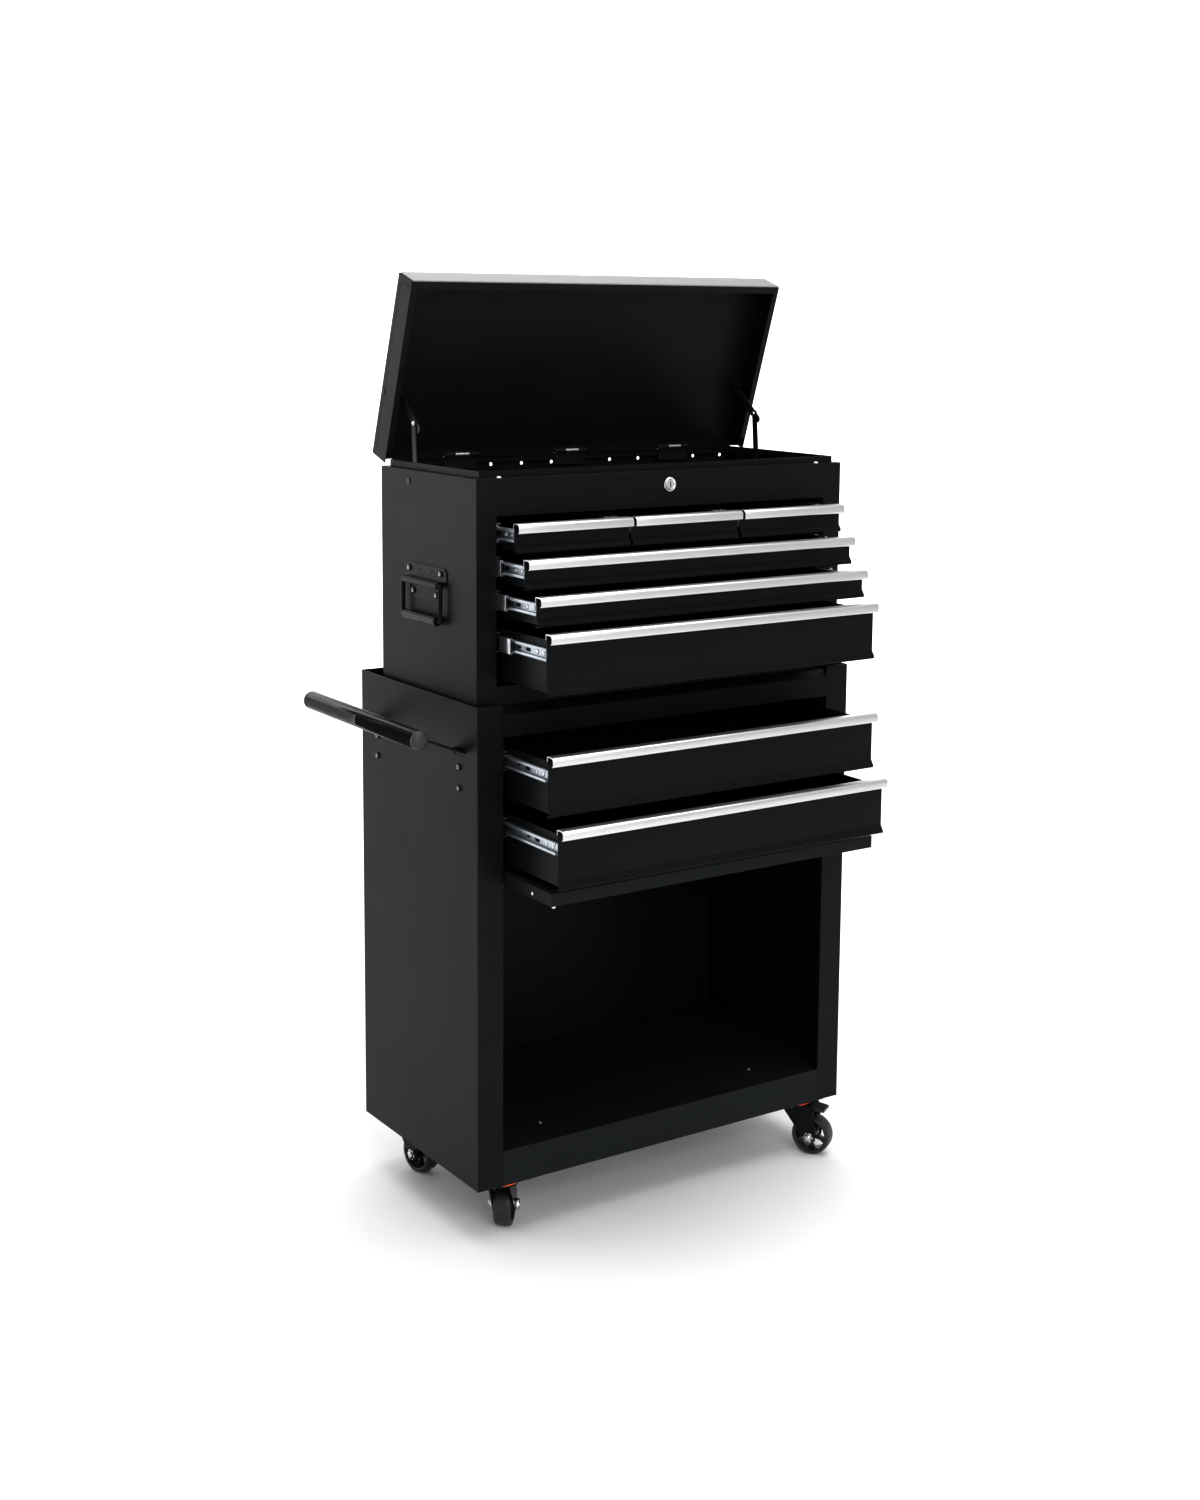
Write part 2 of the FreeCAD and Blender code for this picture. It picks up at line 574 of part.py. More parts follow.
def lid_shell():
    shell = box(LID_X0, LID_X1, LID_Y0, LID_Y1, LID_Z0, LID_Z1).cut(
        box(LID_X0 + SHEET, LID_X1 - SHEET, LID_Y0 + SHEET, LID_Y1 - SHEET, LID_Z0 - 1,
            LID_Z1 - SHEET))
    shell = shell.cut(box(LID_X0 + SHEET, LID_X1 - SHEET, LID_Y1 - 2 * SHEET, LID_Y1 + 1,
                          LID_Z0 - 1, LID_REAR_Z0))
    half, past_lip = HINGE_W / 2 + 2, CHEST_X0 + LIP_INSET + 2.5 * SHEET
    notches = [(x - half, x + half) for x in hinge_centres()]
    notches += [(LID_X0 + SHEET, past_lip), (CABINET_W - past_lip, LID_X1 - SHEET)]
    for x0, x1 in notches:
        shell = shell.cut(box(x0, x1, LID_Y1 - 2 * SHEET, LID_Y1 + 1, LID_Z0,
                              HINGE_Z + KNUCKLE_R + 1))
    z1 = LID_Z0 + SHEET
    feet = [box(LID_X0 + SHEET, LID_X1 - SHEET, LID_Y0, LID_Y0 + SHEET + LID_FLANGE, LID_Z0, z1)]
    side_end = HINGE_Y - 14.0
    feet.append(box(LID_X0, LID_X0 + LID_FLANGE, LID_Y0 + SHEET, side_end, LID_Z0, z1))
    feet.append(mirror_x(feet[1]))
    y, z = stay_head_closed()
    stud = rod(LID_X0 + SHEET / 2, y, z, STUD_R, STAY_X0 + 2 * STAY_T + 1.5 - LID_X0, X_AXIS)
    return lid_up(union([shell] + feet + [stud, mirror_x(stud)]))


def lid_trim():
    y0, y1 = LID_Y0 - TRIM_T, LID_Y0
    z0, z1 = LID_Z0, LID_Z1 - 1.0
    face = [(y1, z0), (y0, z0), (y0, z1 - TRIM_T), (y1, z1)]
    return lid_up(extrude_x(face, LID_X0 + 2.0, LID_X1 - 2.0))


def knuckle(x0, x1):
    return rod(x0, HINGE_Y, HINGE_Z, KNUCKLE_R, x1 - x0, X_AXIS)


def hinge_leaves_body():
    parts = []
    y1 = CHEST_Y1 - LIP_INSET - SHEET
    half, share = HINGE_W / 2, HINGE_W / 4
    for x in hinge_centres():
        plate = box(x - half, x + half, y1 - SHEET, y1, SHOULDER_Z - 8.0, LIP_TOP - 0.6)
        webs = [box(a, b, HINGE_Y, y1, HINGE_Z - 4.4, HINGE_Z - 1.6)
                for a, b in ((x - half, x - share), (x + share, x + half))]
        ends = [knuckle(x - half, x - share), knuckle(x + share, x + half)]
        pin = rod(x - half, HINGE_Y, HINGE_Z, HINGE_PIN_R, HINGE_W, X_AXIS)
        parts.append(union([plate] + webs + ends + [pin]))
    return Part.makeCompound(parts)


def hinge_leaves_lid():
    parts = []
    half, share = HINGE_W / 2, HINGE_W / 4 - 0.4
    y1 = LID_Y1 - SHEET
    for x in hinge_centres():
        plate = box(x - half, x + half, y1 - SHEET, y1, HINGE_Z + KNUCKLE_R + 1.5, HINGE_Z + 20.0)
        web = box(x - share, x + share, y1 - SHEET, y1, HINGE_Z, HINGE_Z + KNUCKLE_R + 1.5)
        leaf = union([plate, web, knuckle(x - share, x + share)])
        parts.append(leaf.cut(rod(x - half, HINGE_Y, HINGE_Z, HINGE_PIN_R + RUN_FIT, HINGE_W,
                                  X_AXIS)))
    return lid_up(Part.makeCompound(parts))


def stay_points():
    """(y, z) of the foot, elbow and head pivots with the lid up."""
    foot = (STAY_FOOT_Y, SHOULDER_Z - STAY_FOOT_DROP)
    head = stay_head_open()
    return foot, elbow(foot, head), head


def elbow(foot, head):
    """Corner of the triangle on the chest's front side."""
    span = math.dist(foot, head)
    lean = math.atan2(head[1] - foot[1], head[0] - foot[0])
    open_by = math.acos((span ** 2 + STAY_LOWER_LEN ** 2 - STAY_UPPER_LEN ** 2)
                        / (2 * span * STAY_LOWER_LEN))
    angle = lean + open_by
    return (foot[0] + STAY_LOWER_LEN * math.cos(angle), foot[1] + STAY_LOWER_LEN * math.sin(angle))


def stay_lower_arms():
    foot, mid, head = stay_points()
    return both_sides(link(foot, mid, STAY_W, STAY_X0, STAY_X0 + STAY_T, STUD_R + RUN_FIT, 0))


def stay_upper_arms():
    foot, mid, head = stay_points()
    x0 = STAY_X0 + STAY_T + 0.4
    return both_sides(link(head, mid, STAY_W, x0, x0 + STAY_T, STUD_R + RUN_FIT, 0, STAY_TAB))


# ---- lock ------------------------------------------------------------------------
def lock_barrel():
    x, z = CABINET_W / 2, LOCK_Z
    collar = rod(x, CHEST_Y0 - 2.5, z, LOCK_R, 2.5, Y_AXIS)
    collar = collar.makeChamfer(0.8, [e for e in collar.Edges
                                      if abs(e.BoundBox.YMax - (CHEST_Y0 - 2.5)) < 1e-6])
    body = rod(x, CHEST_Y0 - 0.5, z, LOCK_BODY_R, LOCK_LEN + 0.5, Y_AXIS)
    return union([collar, body]).cut(rod(x, CHEST_Y0 - 5, z, PLUG_R + RUN_FIT, LOCK_LEN + 10, Y_AXIS))


def lock_plug():
    x, z = CABINET_W / 2, LOCK_Z
    plug = rod(x, CHEST_Y0 - 3.0, z, PLUG_R, LOCK_LEN + 5.0, Y_AXIS)
    slot = box(x - 0.8, x + 0.8, CHEST_Y0 - 4.0, CHEST_Y0 + 8.0, z - 4.0, z + 4.0)
    cam_y = CHEST_Y0 + LOCK_LEN + 0.4
    cam = box(x - 5, x + 5, cam_y, cam_y + 1.6, z - 5, z + 16.0)
    return union([plug.cut(slot), cam])


# ---- handles ---------------------------------------------------------------------
def carry_screws():
    return [(CARRY_Y + sy * half, CARRY_Z + dz)
            for half, dz in ((42.8, 15.4), (31.3, -14.2)) for sy in (-1, 1)]


def carry_plate():
    wall, t = CHEST_X0, 1.5
    axis_x = wall - CARRY_STANDOFF
    outline = [(-57, 2), (-57, 18), (-52, 23), (52, 23), (57, 18), (57, 2), (40, -2), (40, -19),
               (36, -23), (-36, -23), (-40, -19), (-40, -2)]
    face = polygon([(wall - t, CARRY_Y + y, CARRY_Z + z) for y, z in outline])
    plate = face.extrude(Vector(t, 0, 0))
    half = CARRY_SPAN / 2 - CARRY_ROD_R - 1.5
    barrel = rod(axis_x, CARRY_Y - half, CARRY_Z, CARRY_BARREL_R, 2 * half, Y_AXIS)
    web = box(axis_x, wall - t / 2, CARRY_Y - half, CARRY_Y + half, CARRY_Z + 2.2,
              CARRY_Z + CARRY_BARREL_R)
    plate = union([plate, barrel, web]).cut(
        rod(axis_x, CARRY_Y - half - 1, CARRY_Z, CARRY_ROD_R + RUN_FIT, 2 * half + 2, Y_AXIS))
    for y, z in carry_screws():
        plate = plate.cut(rod(wall - 3, y, z, SCREW_R + RUN_FIT, 4, X_AXIS))
    return plate


def carry_bail():
    x = CHEST_X0 - CARRY_STANDOFF
    ends = [CARRY_Y - CARRY_SPAN / 2, CARRY_Y + CARRY_SPAN / 2]
    low = CARRY_Z - CARRY_DROP
    parts = [rod(x, ends[0], z, CARRY_ROD_R, CARRY_SPAN, Y_AXIS) for z in (CARRY_Z, low)]
    for y in ends:
        parts.append(rod(x, y, low, CARRY_ROD_R, CARRY_DROP, Z_AXIS))
        parts += [Part.makeSphere(CARRY_ROD_R, Vector(x, y, z)) for z in (CARRY_Z, low)]
    grip = rod(x, ends[0] + 7, low, CARRY_GRIP_R, CARRY_SPAN - 14, Y_AXIS)
    return union(parts + [grip])


def push_handle():
    x, z = -PUSH_REACH, PUSH_Z
    tube = rod(x, CAP_LEN, z, PUSH_R, CABINET_D - 2 * CAP_LEN, Y_AXIS)
    core = rod(x, CAP_LEN - 1, z, PUSH_R - PUSH_WALL, CABINET_D - 2 * CAP_LEN + 2, Y_AXIS)
    run = math.hypot(x, z - PUSH_SLOT_Z)
    reach = 1 - (PUSH_R - PUSH_WALL / 2) / run
    tip = (x * reach, PUSH_SLOT_Z + (z - PUSH_SLOT_Z) * reach)
    path = [(SHEET, PUSH_FOOT_Z), (SHEET, PUSH_SLOT_Z - 1.5), tip]
    strip = folded(path[::-1], PUSH_ARM_T)
    arms = []
    for y in arm_centres():
        arm = extrude_y(strip, y - PUSH_ARM_W / 2, y + PUSH_ARM_W / 2)
        for hole_z in PUSH_SCREWS_Z:
            arm = arm.cut(rod(-1, y, hole_z, SCREW_R + RUN_FIT, 8, X_AXIS))
        arms.append(arm.cut(core))
    frame = union([tube.cut(core)] + arms)
    dome_r = (PUSH_R ** 2 + CAP_LEN ** 2) / (2 * CAP_LEN)
    dome = Part.makeSphere(dome_r, Vector(x, dome_r, z))
    cap = union([dome.common(rod(x, -1, z, PUSH_R, CAP_LEN + 1, Y_AXIS)),
                 rod(x, CAP_LEN - 1, z, PUSH_R - PUSH_WALL, 12, Y_AXIS)])
    return Part.makeCompound([frame, cap, mirror_y(cap)])


# ---- casters ---------------------------------------------------------------------
def caster_places():
    """name: (x, y, trail direction)"""
    xs = {"left": CASTER_X, "right": CABINET_W - CASTER_X}
    ys = {"front": CASTER_Y, "rear": CABINET_D - CASTER_Y}
    return {name: (xs[name.split("_")[1]], ys[name.split("_")[0]], turn)
            for name, turn in CASTERS.items()}


def plate_bolts(x, y):
    return [(x + sx * (CASTER_PLATE[0] / 2 - 7), y + sy * (CASTER_PLATE[1] / 2 - 7))
            for sx in (-1, 1) for sy in (-1, 1)]


def caster_tops():
    parts = []
    w, d, t = CASTER_PLATE
    for x, y, _ in caster_places().values():
        plate = box(x - w / 2, x + w / 2, y - d / 2, y + d / 2, -t, 0)
        for bx, by in plate_bolts(x, y):
            plate = plate.cut(rod(bx, by, -t - 1, SCREW_R + RUN_FIT, t + 2, Z_AXIS))
        king = rod(x, y, FORK_TOP_Z - FORK_T - 3.0, KING_R, -FORK_TOP_Z + FORK_T + 3.0 - t, Z_AXIS)
        head = rod(x, y, FORK_TOP_Z - FORK_T - 3.0, KING_R + 3, 2.7, Z_AXIS)
        parts.append(union([plate, king, head]))
        seal = rod(x, y, -t - RING_T, RING_R, RING_T, Z_AXIS)
        parts.append(seal.cut(rod(x, y, -t - RING_T - 1, KING_R, RING_T + 2, Z_AXIS)))
    return Part.makeCompound(parts)


def in_place(shape, place):
    x, y, turn = place
    shape.rotate(Vector(0, 0, 0), Z_AXIS, turn)
    shape.translate(Vector(x, y, 0))
    return shape


def caster_fork(place, braked):
    """Built with the wheel trailing along +X from the swivel centre."""
    top = rod(0, 0, FORK_TOP_Z - FORK_T, RING_R - 1, FORK_T, Z_AXIS)
    inner = WHEEL_W / 2 + 1.5
    outline = [(-20, FORK_TOP_Z), (PEDAL_X + 5, FORK_TOP_Z), (PEDAL_X + 6, PEDAL_Z - 4),
               (CASTER_TRAIL + 10, WHEEL_Z + 8),
               (CASTER_TRAIL + 9, WHEEL_Z - 6), (CASTER_TRAIL - 6, WHEEL_Z - 9)]
    cheeks = [extrude_y(outline, side, side + FORK_T) for side in (-inner - FORK_T, inner)]
    bridge = box(-20, 14, -inner - FORK_T, inner + FORK_T, FORK_TOP_Z - FORK_T, FORK_TOP_Z)
    axle = rod(CASTER_TRAIL, -inner - FORK_T - 5, WHEEL_Z, AXLE_R, 2 * (inner + FORK_T + 5), Y_AXIS)
    nuts = [rod(CASTER_TRAIL, side, WHEEL_Z, 7.0, 4.5, Y_AXIS)
            for side in (-inner - FORK_T - 4.5, inner + FORK_T)]
    pivot = [rod(PEDAL_X, -inner - FORK_T, PEDAL_Z, PIN_R, 2 * (inner + FORK_T), Y_AXIS)]
    fork = union([top, bridge] + cheeks + [axle] + nuts + (pivot if braked else []))
    return in_place(fork.cut(rod(0, 0, FORK_TOP_Z - 10, KING_R + RUN_FIT, 12, Z_AXIS)), place)


def caster_wheel(place):
    half = WHEEL_W / 2
    tread = rod(0, -half, 0, WHEEL_R, WHEEL_W, Y_AXIS)
    tread = tread.makeFillet(4.0, [e for e in tread.Edges if e.Curve.TypeId == "Part::GeomCircle"])
    tread = tread.cut(rod(0, -half - 1, 0, WHEEL_R - 6.5, WHEEL_W + 2, Y_AXIS))
    web = rod(0, -2, 0, WHEEL_R - 6, 4, Y_AXIS)
    for i in range(5):
        window = rod(13.5, -3, 0, 4.2, 6, Y_AXIS)
        window.rotate(Vector(0, 0, 0), Y_AXIS, 72 * i)
        web = web.cut(window)
    hub = rod(0, -half, 0, 8.0, WHEEL_W, Y_AXIS)
    wheel = union([tread, web, hub]).cut(rod(0, -half - 1, 0, AXLE_R + RUN_FIT, WHEEL_W + 2, Y_AXIS))
    wheel.translate(Vector(CASTER_TRAIL, 0, WHEEL_Z))
    return in_place(wheel, place)


def brake_pedal(place):
    """Pedal over the wheel, hinged just behind the swivel."""
    x, z, half = PEDAL_X, PEDAL_Z, WHEEL_W / 2 - 0.5
    outline = [(x, z + 3), (x + 7, z + 3), (x + PEDAL_LEN, z + 1), (x + PEDAL_LEN, z - 3),
               (x + 7, z - 3.5), (x, z - 3)]
    pedal = union([extrude_y(outline, -half, half), rod(x, -half, z, 3.0, 2 * half, Y_AXIS)])
    return in_place(pedal.cut(rod(x, -half - 1, z, PIN_R + RUN_FIT, 2 * half + 2, Y_AXIS)), place)


# ---- fasteners -------------------------------------------------------------------
def screw(x, y, z, axis, shank):
    head_r, head_h = 4.4, 2.4
    back = Vector(x, y, z) - axis * head_h
    head = Part.makeCylinder(head_r, head_h, back, axis)
    rim = [e for e in head.Edges if (e.CenterOfMass - back).Length < 1e-6]
    return union([head.makeFillet(1.6, rim), Part.makeCylinder(SCREW_R, shank, Vector(x, y, z), axis)])


def fasteners():
    parts = []
    for y in arm_centres():
        parts += [screw(0, y, z, X_AXIS, 6.0) for z in PUSH_SCREWS_Z]
    for y, z in carry_screws():
        left = screw(CHEST_X0 - 1.5, y, z, X_AXIS, 5.0)
        parts += [left, mirror_x(left)]
    foot_z = SHOULDER_Z - STAY_FOOT_DROP
    stud = union([rod(CHEST_X0, STAY_FOOT_Y, foot_z, STUD_R, STAY_X0 + STAY_T + 0.3 - CHEST_X0, X_AXIS),
                  rod(CHEST_X0 - 1.2, STAY_FOOT_Y, foot_z, STUD_R + 1.2, 1.2, X_AXIS)])
    parts += [stud, mirror_x(stud)]
    for x, y, _ in caster_places().values():
        for bx, by in plate_bolts(x, y):
            parts.append(screw(bx, by, BASE_T, -Z_AXIS, BASE_T + CASTER_PLATE[2] + 3.0))
    return Part.makeCompound(parts)


# ---- assembly --------------------------------------------------------------------
def build_parts():
    parts = {
        "side_panels": side_panels(),
        "back_panel": back_panel(),
        "floor_pan": floor_pan(),
        "top_tray": top_tray(),
        "chest_wrap": chest_wrap(),
        "chest_front": chest_front(),
        "chest_decks": chest_decks(),
        "slide_posts": slide_posts(),
        "slide_channels": slide_channels(),
        "door_rails": door_rails(),
        "door_pins": door_pins(),
        "door_panel": door_panel(),
        "lid_shell": lid_shell(),
        "lid_trim": lid_trim(),
        "hinge_leaves_body": hinge_leaves_body(),
        "hinge_leaves_lid": hinge_leaves_lid(),
        "stay_lower_arms": stay_lower_arms(),
        "stay_upper_arms": stay_upper_arms(),
        "lock_barrel": lock_barrel(),
        "lock_plug": lock_plug(),
        "carry_plates": both_sides(carry_plate()),
        "carry_bail_left": carry_bail(),
        "carry_bail_right": mirror_x(carry_bail()),
        "push_handle": push_handle(),
        "caster_tops": caster_tops(),
        "fasteners": fasteners(),
    }
    for name, sizes in drawer_table().items():
        parts["drawer_box_" + name] = drawer_box(*sizes)
        parts["drawer_pull_" + name] = drawer_pull(*sizes)
        parts["drawer_rails_" + name] = drawer_rails(*sizes)
    for name, place in caster_places().items():
        braked = name.startswith("front")
        parts["caster_fork_" + name] = caster_fork(place, braked)
        parts["caster_wheel_" + name] = caster_wheel(place)
        if braked:
            parts["brake_pedal_" + name] = brake_pedal(place)
    return parts


ORIGIN_SHIFT = Vector(-CABINET_W / 2, -CABINET_D / 2, 0)
os.makedirs("parts", exist_ok=True)
for node, shape in build_parts().items():
    shape.translate(ORIGIN_SHIFT)
    shape.exportStep("parts/" + node + ".step")
    print(node, len(shape.Solids), "solids", round(shape.Volume), "valid", shape.isValid())
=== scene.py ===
# %% [markdown]
# # A rolling tool chest with its lid up and its drawers part open
# The chest is black powder-coated sheet steel with bright aluminium pulls. Everything here is built
# around a frame of exact solids: sheets, drawers, lid and casters already have their places, and this
# lesson gives them rolled edges, bright slides, screws, grips and believable finishes.

# %% Load the frame
import json
import math
import bmesh
import bpy
from mathutils import Matrix, Vector


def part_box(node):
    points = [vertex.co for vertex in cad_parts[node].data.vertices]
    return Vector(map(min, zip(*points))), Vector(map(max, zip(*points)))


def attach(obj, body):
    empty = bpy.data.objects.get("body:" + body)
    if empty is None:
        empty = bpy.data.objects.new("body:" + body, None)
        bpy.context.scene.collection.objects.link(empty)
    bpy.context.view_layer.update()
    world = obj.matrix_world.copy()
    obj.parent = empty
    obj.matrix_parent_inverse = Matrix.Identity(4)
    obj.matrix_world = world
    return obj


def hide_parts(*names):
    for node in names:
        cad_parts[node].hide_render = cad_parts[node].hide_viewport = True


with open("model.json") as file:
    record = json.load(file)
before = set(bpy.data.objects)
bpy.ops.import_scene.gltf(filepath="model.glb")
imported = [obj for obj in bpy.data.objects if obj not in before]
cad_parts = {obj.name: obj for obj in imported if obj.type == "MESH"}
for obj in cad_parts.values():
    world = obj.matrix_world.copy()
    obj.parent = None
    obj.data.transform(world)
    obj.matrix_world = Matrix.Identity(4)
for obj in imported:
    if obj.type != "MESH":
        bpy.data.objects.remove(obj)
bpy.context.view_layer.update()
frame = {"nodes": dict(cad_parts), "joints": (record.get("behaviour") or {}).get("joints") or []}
MM = 0.001

# %% [markdown]
# ## Reading places from the frame
# A piece should sit where the solid it belongs to sits. The frame gives the lowest and highest corner
# of every solid, so a small class that names those six numbers keeps the rest of the script readable.


# %% The box of a solid
class Span:
    """The box of one or more frame solids, in metres."""

    def __init__(self, *nodes):
        corners = [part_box(node) for node in nodes]
        self.low = Vector([min(c[0][i] for c in corners) for i in range(3)])
        self.high = Vector([max(c[1][i] for c in corners) for i in range(3)])
        self.x0, self.y0, self.z0 = self.low
        self.x1, self.y1, self.z1 = self.high
        self.middle = (self.low + self.high) / 2
        self.size = self.high - self.low


WHEEL_NODES = sorted(node for node in frame["nodes"] if node.startswith("caster_wheel_"))
cabinet, chest, lid = Span("side_panels"), Span("chest_wrap", "chest_front"), Span("lid_shell")
print("cabinet", [round(v / MM) for v in cabinet.size], "chest", [round(v / MM) for v in chest.size])

# %% [markdown]
# ## Shader sums written as Python
# A finish is a small web of nodes. Dragging them by hand is fine for one, but a dozen finishes that
# share ideas are easier to write as sums. The Value class below wraps a socket, so that
# `0.4 + 0.1 * noise` adds the Math nodes by itself. Finish makes any other node in one call.


# %% A socket that can be added and multiplied
class Value:
    """A node output that holds one number per point of the surface."""

    def __init__(self, finish, socket):
        self.finish, self.socket = finish, socket

    def sum(self, operation, first, second):
        return Value(self.finish, self.finish.node(
            "ShaderNodeMath", {"operation": operation}, {0: first, 1: second}))

    def __add__(self, other):
        return self.sum("ADD", self, other)

    def __radd__(self, other):
        return self.sum("ADD", other, self)

    def __mul__(self, other):
        return self.sum("MULTIPLY", self, other)

    def __rmul__(self, other):
        return self.sum("MULTIPLY", other, self)


class Finish:
    """A material built from one main shader and the nodes that vary it over the surface."""

    made = []

    def __init__(self, name, slot, colour, roughness, metallic=0.0, **shader):
        Finish.made.append(name)
        self.material = bpy.data.materials.new(name)
        self.material.use_nodes = True
        self.slot, self.tree = slot, self.material.node_tree
        self.shader = self.tree.nodes["Principled BSDF"]
        self.material.diffuse_color = (*colour, 1)
        self.feed("Base Color", (*colour, 1))
        self.feed("Roughness", roughness)
        self.feed("Metallic", metallic)
        for socket, value in shader.items():
            self.feed(socket.replace("_", " "), value)
        self.place = self.node("ShaderNodeTexCoord", {}, {}, "Object")

    def feed(self, name, value):
        self.plug(self.shader.inputs[name], value)

    def plug(self, target, value):
        if isinstance(value, Value):
            value = value.socket
        if isinstance(value, bpy.types.NodeSocket):
            self.tree.links.new(value, target)
        else:
            target.default_value = value

    def node(self, kind, settings, inputs, output=0):
        made = self.tree.nodes.new(kind)
        for name, value in settings.items():
            setattr(made, name, value)
        for name, value in inputs.items():
            self.plug(made.inputs[name], value)
        return made.outputs[output]

    def stretched(self, scale):
        """Object coordinates scaled along each axis."""
        return self.node("ShaderNodeMapping", {}, {"Vector": self.place, "Scale": scale})

    def noise(self, scale, detail=2.0, where=None, rough=0.5):
        return Value(self, self.node("ShaderNodeTexNoise", {}, {
            "Vector": where or self.place, "Scale": scale, "Detail": detail, "Roughness": rough}))

    def blend(self, factor, first, second):
        return self.node("ShaderNodeMix", {"data_type": "RGBA"}, {
            "Factor": factor, 6: (*first, 1), 7: (*second, 1)}, 2)

    def bump(self, height, depth, strength):
        """Height runs from 0 to 1 and depth is in metres."""
        return self.node("ShaderNodeBump", {}, {
            "Height": height, "Distance": depth, "Strength": strength})


print("shader helpers ready")

# %% [markdown]
# ## Powder coat
# Powder coat is not flat black. Up close it has the fine skin of an orange, about a millimetre from
# bump to bump, and the gloss drifts a little across a sheet where the powder melted thicker. Two
# noises do that: a fine one for the bump and a broad one for roughness and colour. The specular level
# is set low on the shader itself, because at its usual 0.5 a large lamp washes the black out to grey.


# %% Black finishes on sheet steel
def powder_coat(name, slot, colour, roughness, skin=0.03 * MM, pitch=900.0, specular=0.15):
    coat = Finish(name, slot, colour, roughness, Specular_IOR_Level=specular)
    broad = coat.noise(9.0, 3.0)
    fine = coat.noise(pitch, 2.0)
    lighter = [c * 1.5 + 0.002 for c in colour]     # where the powder lies thicker
    coat.feed("Base Color", coat.blend(broad, colour, lighter))
    coat.feed("Roughness", roughness - 0.06 + 0.12 * broad)
    coat.feed("Normal", coat.bump(fine, skin, 0.6))
    return coat


BLACK = powder_coat("black powder coat", "black_paint", (0.0044, 0.0056, 0.0066), 0.42)
DRAWER_BLACK = powder_coat("drawer front coat", "black_paint", (0.0040, 0.0050, 0.0060), 0.36,
                           0.02 * MM, 1300.0)
# The inside coat is the same black paint made lighter and bluer; the extra lightness is painted fill
# light on the inside sheets and the door.
INSIDE_BLACK_PAINTED_FILL = powder_coat("inside coat with painted fill light", "black_paint", (0.0085, 0.0108, 0.0125), 0.5)
GLOSS_BLACK = powder_coat("gloss caster paint", "caster_frame", (0.005, 0.0052, 0.0056), 0.2,
                          0.02 * MM, 500.0)
PLATE_BLACK = powder_coat("caster plate paint", "caster_plate", (0.012, 0.0125, 0.014), 0.35)
HANDLE_BLACK = powder_coat("handle plate paint", "handle_plate", (0.003, 0.0034, 0.004), 0.24,
                           specular=0.14)
BAIL_BLACK = powder_coat("bail paint", "bail", (0.003, 0.0034, 0.004), 0.2, specular=0.16)
TUBE_BLACK = powder_coat("push bar paint", "push_tube", (0.008, 0.0085, 0.0095), 0.27, 0.015 * MM)
HINGE_BLACK = powder_coat("hinge paint", "hinge", (0.009, 0.0095, 0.011), 0.35)
STAY_BLACK = powder_coat("stay paint", "stay", (0.010, 0.011, 0.012), 0.35)
print("black finishes:", len(Finish.made))

# %% [markdown]
# ## Bright metals
# Anodised aluminium is drawn through a die, so its fine scratches all run along the length. Zinc plate
# on the slides is a cool grey with cloudy patches. Both are the same idea, a noise used for roughness
# and a whisper of bump, but the aluminium's noise is squeezed so hard in one direction that it turns
# into lines.


# %% Aluminium, zinc and nickel
def drawn_metal(name, slot, colour, roughness):
    metal = Finish(name, slot, colour, roughness, 1.0)
    lines = metal.noise(1.0, 3.0, metal.stretched((14.0, 5200.0, 5200.0)), 0.65)
    patches = metal.noise(22.0, 2.0)
    metal.feed("Base Color", metal.blend(lines, [c * 0.86 for c in colour], colour))
    metal.feed("Roughness", roughness - 0.07 + 0.14 * lines + 0.05 * patches)
    metal.feed("Normal", metal.bump(lines, 0.02 * MM, 0.35))
    return metal


def plated(name, slot, colour, roughness, patch=140.0):
    metal = Finish(name, slot, colour, roughness, 1.0)
    clouds = metal.noise(patch, 3.0)
    specks = metal.noise(1500.0, 2.0)
    metal.feed("Base Color", metal.blend(clouds, [c * 0.86 for c in colour], colour))
    metal.feed("Roughness", roughness - 0.03 + 0.1 * clouds)
    metal.feed("Normal", metal.bump(specks, 0.02 * MM, 0.25))
    return metal


# The trim's dull grey, half as bright as the pulls, is partly painted reflection: it stands for the
# light band that lamps lay along the lid's front rim at a grazing angle.
TRIM_METAL_PAINTED_REFLECTION = drawn_metal("trim aluminium with painted reflection", "bright_trim", (0.39, 0.392, 0.4), 0.4)
PULL_METAL = drawn_metal("pull aluminium", "bright_trim", (0.80, 0.805, 0.81), 0.34)
ZINC = plated("slide zinc", "zinc_slide", (0.62, 0.66, 0.71), 0.36)
# This steel serves the elbow rivets, and also the painted highlight rings in the side screws.
STEEL_AND_PAINTED_HIGHLIGHT = plated("rivet steel and painted highlight", "stay", (0.74, 0.75, 0.77), 0.22, 90.0)
PIN_STEEL_DOOR = plated("door pin steel", "door_pin", (0.62, 0.63, 0.65), 0.3, 90.0)
NICKEL = plated("lock nickel", "lock", (0.82, 0.82, 0.81), 0.16, 60.0)
PIN_ZINC = plated("rail screw zinc", "zinc_slide", (0.88, 0.89, 0.91), 0.24, 90.0)
PIN_STEEL = plated("pin steel", "hinge", (0.62, 0.63, 0.65), 0.25, 90.0)
AXLE_STEEL = plated("axle nut steel", "caster_frame", (0.75, 0.76, 0.77), 0.2, 90.0)
BOLT_STEEL = plated("bolt steel", "fastener", (0.55, 0.56, 0.58), 0.3, 90.0)
DARK_SCREW = plated("blackened screw", "fastener", (0.045, 0.046, 0.05), 0.3, 200.0)
print("finishes with the metals:", len(Finish.made))

# %% [markdown]
# ## Plastics and rubber
# The wheels are glossy moulded plastic, the seals over the swivels are bright orange, and the carry
# handles have a soft ribbed grip. Moulded parts carry a very fine grain and slightly uneven gloss.


